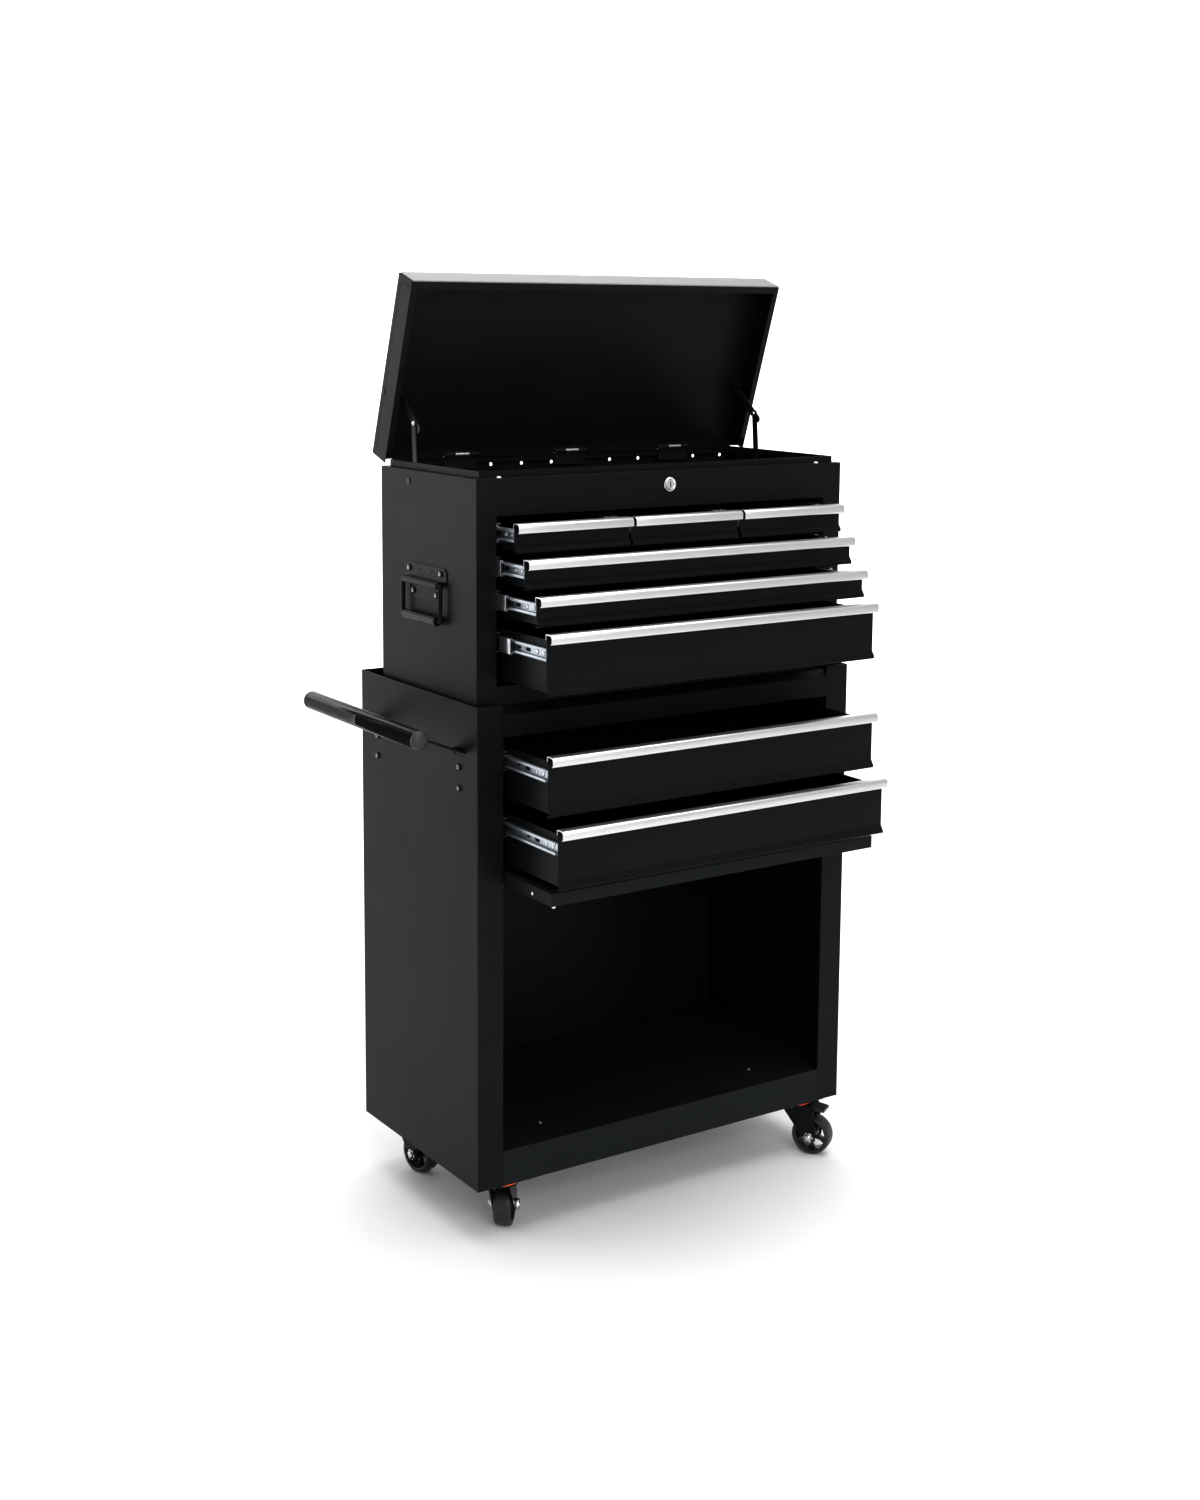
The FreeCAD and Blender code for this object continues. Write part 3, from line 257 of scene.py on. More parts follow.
# %% Moulded finishes
def moulded(name, slot, colour, roughness, grain=0.02 * MM, pitch=1600.0, specular=0.5):
    plastic = Finish(name, slot, colour, roughness, Specular_IOR_Level=specular)
    haze = plastic.noise(35.0, 2.0)
    plastic.feed("Base Color", plastic.blend(haze, colour, [c * 1.25 for c in colour]))
    plastic.feed("Roughness", roughness - 0.05 + 0.1 * haze)
    plastic.feed("Normal", plastic.bump(plastic.noise(pitch, 2.0), grain, 0.5))
    return plastic


WHEEL_PLASTIC = moulded("wheel plastic", "wheel", (0.012, 0.012, 0.013), 0.18)
TREAD_RUBBER = moulded("wheel tread", "wheel", (0.02, 0.02, 0.021), 0.45, 0.05 * MM, 900.0)
SEAL_ORANGE = moulded("orange seal", "caster_plate", (0.86, 0.10, 0.02), 0.4)
GRIP_RUBBER = moulded("grip rubber", "bail", (0.005, 0.005, 0.0055), 0.28, 0.03 * MM, 700.0, 0.22)
CAP_PLASTIC = moulded("cap plastic", "push_tube", (0.035, 0.036, 0.038), 0.45)
PEDAL_PLASTIC = moulded("pedal plastic", "black_plastic", (0.014, 0.014, 0.015), 0.3)
DOOR_NYLON = moulded("door stop nylon", "black_paint", (0.75, 0.76, 0.8), 0.4)
WHITE_NYLON = moulded("white nylon", "bright_trim", (0.75, 0.76, 0.8), 0.4)
print("finishes in all:", len(Finish.made))

# %% [markdown]
# ## Giving a mesh to the frame
# Every visible piece has to ride on a body, so that it follows its joint, and wears the finish it is
# given. One function does all of it, so that no piece can be forgotten.


# %% Making a piece
SMOOTH_BELOW = math.radians(30)     # edges that turn by less than this are shaded as a curve
pieces_made = []


def piece(name, mesh, finish, body, replaces=()):
    """A mesh as an object that rides on a body and stands for the nodes it replaces."""
    for polygon in mesh.polygons:
        polygon.use_smooth = True
    mesh.materials.clear()
    mesh.materials.append(finish.material)
    made = bpy.data.objects.new(name, mesh)
    bpy.context.scene.collection.objects.link(made)
    if not mesh.has_custom_normals:
        with bpy.context.temp_override(object=made, active_object=made,
                                       selected_editable_objects=[made]):
            bpy.ops.object.shade_smooth_by_angle(angle=SMOOTH_BELOW)
    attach(made, body)
    for node in replaces:
        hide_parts(node)
    pieces_made.append(name)
    return made


def finished(mesh, *modifiers):
    """The mesh after its modifiers, each given as (kind, settings)."""
    holder = bpy.data.objects.new("holder", mesh)
    bpy.context.scene.collection.objects.link(holder)
    for kind, settings in modifiers:
        modifier = holder.modifiers.new(kind.lower(), kind)
        for name, value in settings.items():
            setattr(modifier, name, value)
    graph = bpy.context.evaluated_depsgraph_get()
    result = bpy.data.meshes.new_from_object(holder.evaluated_get(graph))
    bpy.data.objects.remove(holder)
    return result


def joined(meshes):
    both = bmesh.new()
    for mesh in meshes:
        both.from_mesh(mesh)
    result = bpy.data.meshes.new("joined")
    both.to_mesh(result)
    both.free()
    return result


def mirrored(mesh):
    """The same mesh on the other side of the chest's middle plane."""
    copy = mesh.copy()
    copy.transform(Matrix.Scale(-1, 4, (1, 0, 0)))
    copy.flip_normals()
    return copy


print("piece helpers ready")

# %% [markdown]
# ## Folded edges on sheet metal
# A press brake leaves a small radius at each fold, and that radius is what catches the light along the
# corner of a cabinet. The solids have knife-sharp folds. I copy each solid's mesh, weld it, and bevel
# the folds between two broad faces much wider than the thin cut edges of the sheet. The bevel also
# hardens the normals, so that the broad faces between the folds stay flat in the light.


# %% Separate solids in one mesh
WELD = 0.002 * MM          # corners closer than this are one corner


def islands(mesh):
    """Groups of vertices joined by edges, one group for each separate solid."""
    seen, groups = set(), []
    for start in mesh.verts:
        if start in seen:
            continue
        group, waiting = [], [start]
        seen.add(start)
        while waiting:
            vertex = waiting.pop()
            group.append(vertex)
            for edge in vertex.link_edges:
                other = edge.other_vert(vertex)
                if other not in seen:
                    seen.add(other)
                    waiting.append(other)
        groups.append(group)
    return groups


def middle_of(group):
    return Vector([(min(v.co[i] for v in group) + max(v.co[i] for v in group)) / 2
                   for i in range(3)])


def middles(node):
    """The middle of each separate solid of a node."""
    solids = bmesh.new()
    solids.from_mesh(frame["nodes"][node].data)
    bmesh.ops.remove_doubles(solids, verts=solids.verts, dist=WELD)
    found = [middle_of(group) for group in islands(solids)]
    solids.free()
    return found


print("side and base fasteners:", len(middles("fasteners")))

# %% Softening a solid's edges
FLAT_BELOW = math.radians(1.0)      # faces that meet at less than this are one face
FOLD_ABOVE = math.radians(25)       # edges that turn by more than this are rolled
BROAD_FACE = 3.0 * MM
ROLL_STEPS = 3                      # facets around each rolled edge


def face_width(face):
    """The width of a strip-like face, from its area and outline."""
    outline = sum(edge.calc_length() for edge in face.edges)
    return 2 * face.calc_area() / outline if outline else 0.0


def softened(node, fold=1.1 * MM, cut=0.28 * MM, chosen=None):
    """The node's mesh with rolled edges; chosen picks some of its separate solids."""
    welded = bmesh.new()
    welded.from_mesh(frame["nodes"][node].data)
    bmesh.ops.remove_doubles(welded, verts=welded.verts, dist=WELD)
    if chosen is not None:
        others = [v for group in islands(welded) if not chosen(middle_of(group)) for v in group]
        bmesh.ops.delete(welded, geom=others, context="VERTS")
    bmesh.ops.dissolve_limit(welded, angle_limit=FLAT_BELOW, verts=welded.verts, edges=welded.edges)
    weight = welded.edges.layers.float.new("bevel_weight_edge")
    for edge in welded.edges:
        if len(edge.link_faces) != 2 or edge.calc_face_angle(0.0) < FOLD_ABOVE:
            continue
        broad = min(face_width(face) for face in edge.link_faces) > BROAD_FACE
        edge[weight] = 1.0 if broad and edge.is_convex else cut / fold
    for face in welded.faces:
        face.smooth = True
    mesh = bpy.data.meshes.new(node)
    welded.to_mesh(mesh)
    welded.free()
    for name in ("custom_normal", "sharp_edge", "sharp_face"):
        layer = mesh.attributes.get(name)
        if layer is not None:
            mesh.attributes.remove(layer)
    return finished(mesh, ("BEVEL", {"width": fold, "segments": ROLL_STEPS, "limit_method": "WEIGHT",
                                     "use_clamp_overlap": True, "harden_normals": True}))


def soften(node, finish, body, **settings):
    """A softened solid as a piece that stands for its node."""
    return piece(node + "_sheet", softened(node, **settings), finish, body, (node,))


print("sheet softener ready")

# %% Sheets, slides and drawers
# The floor pan, decks and slide posts wear the inside coat, lightened with painted fill light.
SHEETS = {"side_panels": BLACK, "back_panel": BLACK, "floor_pan": INSIDE_BLACK_PAINTED_FILL, "top_tray": BLACK,
          "chest_wrap": BLACK, "chest_front": BLACK, "chest_decks": INSIDE_BLACK_PAINTED_FILL,
          "slide_posts": INSIDE_BLACK_PAINTED_FILL}
for node, finish in SHEETS.items():
    soften(node, finish, "cabinet")
soften("lid_shell", BLACK, "lid")
soften("door_panel", INSIDE_BLACK_PAINTED_FILL, "door")
soften("door_rails", ZINC, "cabinet", fold=0.4 * MM)
soften("slide_channels", ZINC, "cabinet", fold=0.5 * MM, cut=0.2 * MM)
DRAWERS = sorted(node[len("drawer_box_"):] for node in frame["nodes"] if node.startswith("drawer_box_"))
for name in DRAWERS:
    soften("drawer_box_" + name, DRAWER_BLACK, "drawer_" + name)
print("softened sheets:", len(pieces_made))

# %% [markdown]
# ## Strips, prisms and turned parts
# Three shapes make nearly every small part of a tool chest. A ribbon is a strip of metal folded along
# a line of points with round corners. A prism pulls any outline straight out. A lathe turns a profile
# around an axis, for screws, grips, wheels and caps. All three are written out in mesh code, because
# each needs an exact size, and a modelled stroke or a stretched ready-made shape wouldn't have it.


# %% A folded strip
def ribbon(path, thickness, radii, steps=5):
    """Outline of a strip whose centre line follows the path; one radius for each inner corner."""
    points = [Vector(p) for p in path]
    spine = []
    heading = (points[1] - points[0]).normalized()
    spine.append((points[0], Vector((-heading.y, heading.x))))
    for before, corner, after, radius in zip(points, points[1:], points[2:], radii):
        into, out = (corner - before).normalized(), (after - corner).normalized()
        turn = math.atan2(into.cross(out), into.dot(out))
        side = math.copysign(1.0, turn)
        normal = Vector((-into.y, into.x))
        start = corner - into * radius * math.tan(abs(turn) / 2)
        centre = start + normal * side * radius
        for i in range(steps + 1):
            angle = turn * i / steps
            turned = Vector((normal.x * math.cos(angle) - normal.y * math.sin(angle),
                             normal.x * math.sin(angle) + normal.y * math.cos(angle)))
            spine.append((centre - turned * side * radius, turned))
    heading = (points[-1] - points[-2]).normalized()
    spine.append((points[-1], Vector((-heading.y, heading.x))))
    half = thickness / 2
    return [p + n * half for p, n in spine] + [p - n * half for p, n in reversed(spine)]


print("ribbon maker ready")


# %% Straight and turned shapes
SHARP_ABOVE = math.radians(40)      # edges of a prism that turn by more than this are rounded
ON_AXIS = 1e-7                      # a profile point nearer than this closes the end


def along(axis, a, b, c):
    """The point at distance c along an axis, with a and b on the next two axes in X, Y, Z order."""
    return {"X": Vector((c, a, b)), "Y": Vector((a, c, b)), "Z": Vector((a, b, c))}[axis]


def prism(outline, start, end, axis="X", edge=0.2 * MM):
    """Pulls an outline from start to end along an axis, with its edges rounded by edge."""
    made = bmesh.new()
    near = made.faces.new([made.verts.new(along(axis, *p, start)) for p in outline])
    far = bmesh.ops.extrude_face_region(made, geom=[near])["geom"]
    reach = along(axis, 0, 0, end - start)
    bmesh.ops.translate(made, verts=[g for g in far if isinstance(g, bmesh.types.BMVert)], vec=reach)
    bmesh.ops.recalc_face_normals(made, faces=made.faces)
    mesh = bpy.data.meshes.new("prism")
    made.to_mesh(mesh)
    made.free()
    if not edge:
        return mesh
    return finished(mesh, ("BEVEL", {"width": edge, "segments": 2, "limit_method": "ANGLE",
                                     "angle_limit": SHARP_ABOVE}))


def lathe(profile, centre, axis="Y", steps=40):
    """Turns (radius, distance) points around an axis through the centre."""
    made = bmesh.new()
    rings = []
    for radius, distance in profile:
        if radius < ON_AXIS:
            rings.append([made.verts.new(Vector(centre) + along(axis, 0, 0, distance))])
            continue
        rings.append([made.verts.new(Vector(centre) + along(
            axis, radius * math.cos(2 * math.pi * i / steps),
            radius * math.sin(2 * math.pi * i / steps), distance)) for i in range(steps)])
    for low, high in zip(rings, rings[1:]):
        for i in range(steps):
            j = (i + 1) % steps
            loop = [low[i % len(low)], low[j % len(low)], high[j % len(high)], high[i % len(high)]]
            corners = list(dict.fromkeys(loop))
            if len(corners) > 2:
                made.faces.new(corners)
    bmesh.ops.recalc_face_normals(made, faces=made.faces)
    mesh = bpy.data.meshes.new("lathe")
    made.to_mesh(mesh)
    made.free()
    return mesh


print("prism and lathe ready")


# %% Slots, holes and screw heads
def punched(mesh, *cutters):
    """The mesh with the cutters taken away."""
    target = bpy.data.objects.new("target", mesh)
    bpy.context.scene.collection.objects.link(target)
    tool = bpy.data.objects.new("tool", joined(cutters))
    bpy.context.scene.collection.objects.link(tool)
    modifier = target.modifiers.new("cut", "BOOLEAN")
    modifier.operation, modifier.solver, modifier.object = "DIFFERENCE", "EXACT", tool
    graph = bpy.context.evaluated_depsgraph_get()
    result = bpy.data.meshes.new_from_object(target.evaluated_get(graph))
    bpy.data.objects.remove(target)
    bpy.data.objects.remove(tool)
    return result


def oval(a, b, length, width, steps=8):
    """A slot's outline, long along a."""
    run, radius = (length - width) / 2, width / 2
    angles = [math.pi * i / steps - math.pi / 2 for i in range(steps + 1)]
    right = [(a + run + radius * math.cos(t), b + radius * math.sin(t)) for t in angles]
    left = [(a - run - radius * math.cos(t), b - radius * math.sin(t)) for t in angles]
    return right + left


def screw_head(centre, axis, out, radius=3.4 * MM, height=1.7 * MM):
    """A pan head with a dished recess; out is +1 or -1 along the axis."""
    shape = [(0, 0.45), (0.28, 0.45), (0.36, 0.98), (0.5, 1.0), (0.8, 0.85), (0.96, 0.45), (1.0, 0.0)]
    return lathe([(r * radius, h * height * out) for r, h in shape], centre, axis, 24)


print("shape makers ready")

# %% [markdown]
# ## Pulls and slides
# Each pull is a J of aluminium that wraps over the top edge of its drawer front, with a generous curve
# on top and a tight return at the bottom for the fingertips. It is one section from end to end, so a
# ribbon pulled out along X gives it exactly.

# %% Pulls
PULL_SHEET = 1.2 * MM
PULL_TOP_R, PULL_LIP_R, PULL_BACK_R = 4.5 * MM, 1.3 * MM, 0.8 * MM
PULL_RETURN, PULL_BACK = 3 * MM, 7 * MM      # finger return at the foot, and the leg behind the front
for name in DRAWERS:
    pull = Span("drawer_pull_" + name)
    t = PULL_SHEET / 2
    path = [(pull.y0 + PULL_RETURN, pull.z0 + t), (pull.y0 + t, pull.z0 + t),
            (pull.y0 + t, pull.z1 - t), (pull.y1 - t, pull.z1 - t), (pull.y1 - t, pull.z1 - PULL_BACK)]
    section = ribbon(path, PULL_SHEET, [PULL_LIP_R, PULL_TOP_R, PULL_BACK_R])
    hook = prism(section, pull.x0, pull.x1)
    piece("pull_" + name, hook, PULL_METAL, "drawer_" + name, ("drawer_pull_" + name,))
print("pulls:", len(DRAWERS))

# %% [markdown]
# The moving rails are C-shaped, and show two screws, a slot and a stamped notch where they stick out.
# The strip is a ribbon too, and the slot and notch are cut right through it.

# %% Moving rails with their screws
RAIL_SHEET, RAIL_DEEP, RAIL_LIP, RAIL_CORNER_R = 1.0 * MM, 6.0 * MM, 4 * MM, 1.0 * MM
SLIDE_EDGE = 0.12 * MM                       # rounding of a rail's cut edges
RAIL_SCREWS = (12 * MM, 28 * MM)             # behind the rail's front end
RAIL_HOLES = ((50 * MM, 12 * MM, 5.0 * MM), (72 * MM, 9 * MM, 3.0 * MM))    # place, length, width
CUT_REACH = 3 * MM                           # a cutter goes this far past the web on each side
for name in DRAWERS:
    rails = Span("drawer_rails_" + name)
    z, tall, y = rails.middle.z, rails.size.z / 2, rails.y0
    t = RAIL_SHEET / 2
    strips, heads = [], []
    for web, out in ((rails.x0 + RAIL_DEEP, -1), (rails.x1 - RAIL_DEEP, 1)):
        edge, face = web + out * (RAIL_DEEP - t), web + out * t
        path = [(edge, z + tall - RAIL_LIP), (edge, z + tall - t), (face, z + tall - t),
                (face, z - tall + t), (edge, z - tall + t), (edge, z - tall + RAIL_LIP)]
        section = ribbon(path, RAIL_SHEET, [RAIL_CORNER_R] * 4)
        strip = prism(section, y, rails.y1, "Y", SLIDE_EDGE)
        cutters = [prism(oval(y + back, z, length, width), web - CUT_REACH, web + CUT_REACH, "X", 0)
                   for back, length, width in RAIL_HOLES]
        strips.append(punched(strip, *cutters))
        heads += [screw_head((web + out * RAIL_SHEET, y + back, z), "X", out, 3.3 * MM)
                  for back in RAIL_SCREWS]
    body = "drawer_" + name
    piece("rails_" + name, joined(strips), ZINC, body, ("drawer_rails_" + name,))
    piece("rail_screws_" + name, joined(heads), PIN_ZINC, body)
print("moving rails:", 2 * len(DRAWERS))

# %% [markdown]
# The balls of a slide run in a retainer between rail and channel, which follows the drawer at about
# half its pace, so its front end shows about half as far out. Here it is a plain C, a little taller
# than the rail, and it rides with the drawer.

# %% Ball retainers of the chest's slides
SHUT_NOSE = -157.1 * MM                      # front of a shut drawer's pull
RETAINER_SHUT, RETAINER_PACE = -126.5 * MM, -0.45
RETAINER_TALL, RETAINER_LIP, RETAINER_LONG = 10.7 * MM, 7 * MM, 26 * MM
RETAINER_IN, RETAINER_WEB, RETAINER_CORNER_R = 1.4 * MM, 4.7 * MM, 1.2 * MM
for name in [drawer for drawer in DRAWERS if not drawer.startswith("lower")]:
    rails, pull = Span("drawer_rails_" + name), Span("drawer_pull_" + name)
    z, tall, t = rails.middle.z, RETAINER_TALL, 0.5 * MM
    front = RETAINER_SHUT + RETAINER_PACE * (SHUT_NOSE - pull.y0)
    ends = []
    for edge, out in ((rails.x0, -1), (rails.x1, 1)):
        lip, web = edge + out * RETAINER_IN, edge + out * RETAINER_WEB
        path = [(lip, z + RETAINER_LIP), (lip, z + tall - t), (web, z + tall - t),
                (web, z - tall + t), (lip, z - tall + t), (lip, z - RETAINER_LIP)]
        section = ribbon(path, 2 * t, [RETAINER_CORNER_R] * 4)
        ends.append(prism(section, front, front + RETAINER_LONG, "Y", SLIDE_EDGE))
    piece("ball_retainers_" + name, joined(ends), PIN_ZINC, "drawer_" + name)
print("pieces with rails and retainers:", len(pieces_made))

# %% [markdown]
# ## The lid's bright edge, hinges and stays
# A drawn aluminium strip covers the lid's front rim, and its dull grey is partly painted reflection,
# standing for the light band that lamps lay along the rim at a grazing angle. Each hinge shows the ends
# of a bright pin, and a bright sleeve between its black knuckles. The leaves and links are plain folded
# sheet, so the solids only need rolled edges, and the pins are turned.

# %% Lid trim and hinges
# The strip's grey is partly painted reflection of the lamps along the rim.
soften("lid_trim", TRIM_METAL_PAINTED_REFLECTION, "lid", fold=0.7 * MM)
soften("hinge_leaves_body", HINGE_BLACK, "cabinet", fold=0.4 * MM)
soften("hinge_leaves_lid", HINGE_BLACK, "lid", fold=0.4 * MM)
soften("stay_lower_arms", STAY_BLACK, "stay_lower", fold=0.35 * MM)
soften("stay_upper_arms", STAY_BLACK, "stay_upper", fold=0.35 * MM)
lid_hinge = next(joint for joint in frame["joints"] if joint["name"] == "lid_hinge")
PIN_LINE, OPEN_BY = Vector(lid_hinge["pos_m"]), math.radians(lid_hinge["range_deg"][1])
HALF_HINGE, HALF_SLEEVE = 26.0 * MM, 11 * MM
pin_end = [(0, 0.5), (1.9, 0.35), (2.3, 0), (2.3, -0.4)]
sleeve = [(3.02 * MM, -HALF_SLEEVE), (3.25 * MM, -HALF_SLEEVE + 0.3 * MM),
          (3.25 * MM, HALF_SLEEVE - 0.3 * MM), (3.02 * MM, HALF_SLEEVE)]
pins, sleeves = [], []
for middle in middles("hinge_leaves_body"):
    for end in (-1, 1):
        at = (middle.x + end * HALF_HINGE, PIN_LINE.y, PIN_LINE.z)
        pins.append(lathe([(r * MM, h * end * MM) for r, h in pin_end], at, "X", 20))
    sleeves.append(lathe(sleeve, (middle.x, PIN_LINE.y, PIN_LINE.z), "X", 28))
piece("hinge_pin_ends", joined(pins), PIN_STEEL, "cabinet")
piece("hinge_sleeves", joined(sleeves), PIN_STEEL, "lid")
print("hinges:", len(sleeves))

# %% [markdown]
# Each stay is two flat links that lie side by side, with a bright rivet at the elbow and a painted one
# through the lid's rim. A rivet head is a low dome, so one profile serves them all at its own height.

# %% Stay rivets
upper, lower = Span("stay_upper_arms"), Span("stay_lower_arms")
LINK_HALF = 5.5 * MM                         # half the width of a link, and the radius of its end
ELBOW_Y, ELBOW_Z = lower.y1 - LINK_HALF, lower.z1 - LINK_HALF
LINKS_INNER, LINKS_OUTER = min(abs(upper.x0), 286.0 * MM), 289.3 * MM
rivet = [(0, 2.6), (1.2, 2.5), (2.6, 1.9), (3.4, 0.9), (3.6, 0.0)]
elbows, studs = [], []
for side in (-1, 1):
    for x, height in ((LINKS_INNER, -1.0), (LINKS_OUTER, 0.6)):
        head = [(r * MM, height * h * side * MM) for r, h in rivet]
        elbows.append(lathe(head, (side * x, ELBOW_Y, ELBOW_Z), "X", 24))
    stud = [(r * 1.3 * MM, 0.4 * h * side * MM) for r, h in rivet]
    studs.append(lathe(stud, (side * lid.x1, upper.y1 - LINK_HALF, upper.z1 - LINK_HALF), "X", 28))
piece("stay_elbow_rivets", joined(elbows), STEEL_AND_PAINTED_HIGHLIGHT, "stay_upper")
piece("stay_head_rivets", joined(studs), BLACK, "lid")
print("rivets:", len(elbows) + len(studs))

# %% [markdown]
# The lid's side rims carry a pressed line that follows their outer edge. It is easiest to draw where
# the lid is shut and square to the axes, and then to swing up about the hinge pin like the lid itself.

# %% Pressed lines on the lid's sides
LINE_IN, LINE_HIGH, LINE_WIDE, LINE_CORNER_R = 8.5 * MM, 0.25 * MM, 1.3 * MM, 4 * MM
LINE_SUNK = 0.2 * MM
SHUT_TOP, SHUT_FRONT, SHUT_REAR = 982 * MM, -153.5 * MM, 102 * MM
line_path = [(SHUT_REAR - 10 * MM, SHUT_TOP - LINE_IN), (SHUT_FRONT + LINE_IN, SHUT_TOP - LINE_IN),
             (SHUT_FRONT + LINE_IN, SHUT_TOP - 34 * MM)]
line = prism(ribbon(line_path, LINE_WIDE, [LINE_CORNER_R]), lid.x1 - LINE_SUNK, lid.x1 + LINE_HIGH,
             "X", 0.2 * MM)
to_pin, from_pin = Matrix.Translation(-PIN_LINE), Matrix.Translation(PIN_LINE)
line.transform(from_pin @ Matrix.Rotation(-OPEN_BY, 4, "X") @ to_pin)
piece("lid_pressed_lines", joined([line, mirrored(line)]), BLACK, "lid")
print("lid opened by", round(math.degrees(OPEN_BY), 1), "degrees")

# %% [markdown]
# ## The lock
# The lock is a nickel collar, dished towards the plug, and the plug has a slit for the key. The collar
# is turned from one profile, and the slit is cut out of the plug with a thin block.

# %% Lock
barrel, plug = Span("lock_barrel"), Span("lock_plug")
face_y, lock_at = barrel.y0, Vector((0, 0, barrel.middle.z))
SLIT_HALF_WIDE, SLIT_HALF_TALL, SLIT_DEEP = 0.65 * MM, 3.4 * MM, 3.5 * MM
collar = [(6.05, 3.0), (6.05, 1.6), (6.6, 1.0), (8.2, 0.15), (9.2, 0.0), (9.8, 0.5), (10.0, 1.3),
          (10.0, 2.5), (8.0, 2.5), (8.0, 20.0), (6.05, 20.0), (6.05, 3.0)]
piece("lock_collar", lathe([(r * MM, face_y + d * MM) for r, d in collar], lock_at, "Y", 56), NICKEL,
      "cabinet", ("lock_barrel",))
slit_corners = [(a * SLIT_HALF_WIDE, lock_at.z + b * SLIT_HALF_TALL)
                for a, b in ((-1, -1), (1, -1), (1, 1), (-1, 1))]
slit = prism(slit_corners, plug.y0 - MM, plug.y0 + SLIT_DEEP, "Y", 0)
piece("lock_plug_cut", punched(softened("lock_plug", 0.4 * MM, 0.2 * MM), slit), NICKEL, "lock_plug",
      ("lock_plug",))
print("lock face at", round(face_y / MM, 1), "mm")

# %% [markdown]
# ## Carry handles
# Each carry handle is a wire bail that hangs in a pressed plate with two dimples, and its lower bar has
# a thick moulded grip with shallow ribs and rounded ends. The grip is round all along, so its ribs
# belong in the profile that is turned, where they catch the light as real edges.

# %% Carry handles
RIBS, RIB_MARGIN = 21, 3 * MM                # ribs on a grip, and the plain band at each end
GRIP_R, GROOVE_R, GRIP_SHOULDER = 6.32, 6.10, 10 * MM
DIMPLE_Z, DIMPLE_OUT, DIMPLE_Y = 811 * MM, 1.5 * MM, 17 * MM
dimple = [(0, 0.5), (2.0, 0.45), (3.4, 0.1), (3.7, -0.1)]
soften("carry_plates", HANDLE_BLACK, "cabinet", fold=0.5 * MM)
for side, sign in (("left", -1), ("right", 1)):
    body, bail = "carry_bail_" + side, Span("carry_bail_" + side)
    soften(body, BAIL_BLACK, body, fold=0.5 * MM)
    half = bail.size.y / 2 - GRIP_SHOULDER
    wave = [(0.0, -half), (4.6, -half), (5.7, -half + 0.8 * MM)]
    for i in range(RIBS):
        y = -half + RIB_MARGIN + 2 * (half - RIB_MARGIN) * i / (RIBS - 1)
        wave += [(GRIP_R, y - 1.1 * MM), (GRIP_R, y + 0.9 * MM), (GROOVE_R, y + 1.5 * MM)]
    wave += [(5.7, half - 0.8 * MM), (4.6, half), (0.0, half)]
    grip = lathe([(r * MM, d) for r, d in wave], (bail.middle.x, bail.middle.y, bail.z0 + 6.3 * MM),
                 "Y", 40)
    piece("grip_" + side, grip, GRIP_RUBBER, body)
    dimples = [lathe([(r * MM, h * sign * MM) for r, h in dimple],
                     (sign * (chest.x1 + DIMPLE_OUT), bail.middle.y + y, DIMPLE_Z), "X", 28)
               for y in (-DIMPLE_Y, DIMPLE_Y)]
    piece("carry_dimples_" + side, joined(dimples), HANDLE_BLACK, "cabinet")
print("carry handles: 2, ribs on each grip:", RIBS)

# %% [markdown]
# ## Push bar
# The push bar is a painted tube on two bent arms, closed by two lighter plastic caps. A cap is a low
# dome, steeper near its rim than a ball would be, and a short skirt that just covers the tube's end.

# %% Push bar
bar = Span("push_handle")
BAR_R, CAP_DEEP, CAP_PROUD, CAP_SKIRT = 12.7 * MM, 7.0 * MM, 0.03 * MM, 1.2 * MM
bar_x, bar_z = bar.x0 + BAR_R, bar.z1 - BAR_R
soften("push_handle", TUBE_BLACK, "cabinet", fold=0.8 * MM)
ends = []
for end in (-1, 1):
    at = (bar_x, end * bar.y1, bar_z)
    dome = [(BAR_R * math.sin(a), -end * CAP_DEEP * (1 - math.cos(a)) ** 1.1)
            for a in [math.pi / 2 * i / 10 for i in range(11)]]
    dome += [(BAR_R + CAP_PROUD, -end * CAP_DEEP), (BAR_R + CAP_PROUD, -end * (CAP_DEEP + CAP_SKIRT)),
             (BAR_R - 0.6 * MM, -end * (CAP_DEEP + CAP_SKIRT + 0.1 * MM))]
    ends.append(lathe(dome, at, "Y", 48))
piece("push_bar_caps", joined(ends), CAP_PLASTIC, "cabinet")
print("push bar length", round(bar.size.y / MM), "mm")

# %% [markdown]
# ## Screws
# The screws on the sides are blackened pan heads, and the bright dished ring in each is a painted
# highlight, standing for the glint on a domed black head. The bolts under the base stay plain steel.
# All of them are separate solids of one node, so they are sorted by their height, and a small turned
# ring of painted highlight is set in each side screw but not in the studs of the lid stays.

# %% Screws and bolts
BASE_TOP, CHEST_FOOT, STUD_FOOT = 10 * MM, 700 * MM, 900 * MM
CABINET_RING_X, CHEST_RING_X = 310.4 * MM, 303.6 * MM
recess = [(0, -0.35), (0.7, -0.3), (1.7, 0.02), (2.1, 0.04), (2.3, -0.1)]
below = softened("fasteners", 0.5 * MM, 0.3 * MM, chosen=lambda m: m.z < BASE_TOP)
beside = softened("fasteners", 0.9 * MM, 0.3 * MM, chosen=lambda m: m.z > BASE_TOP)
piece("base_bolts", below, BOLT_STEEL, "cabinet", ("fasteners",))
piece("side_screws", beside, DARK_SCREW, "cabinet")
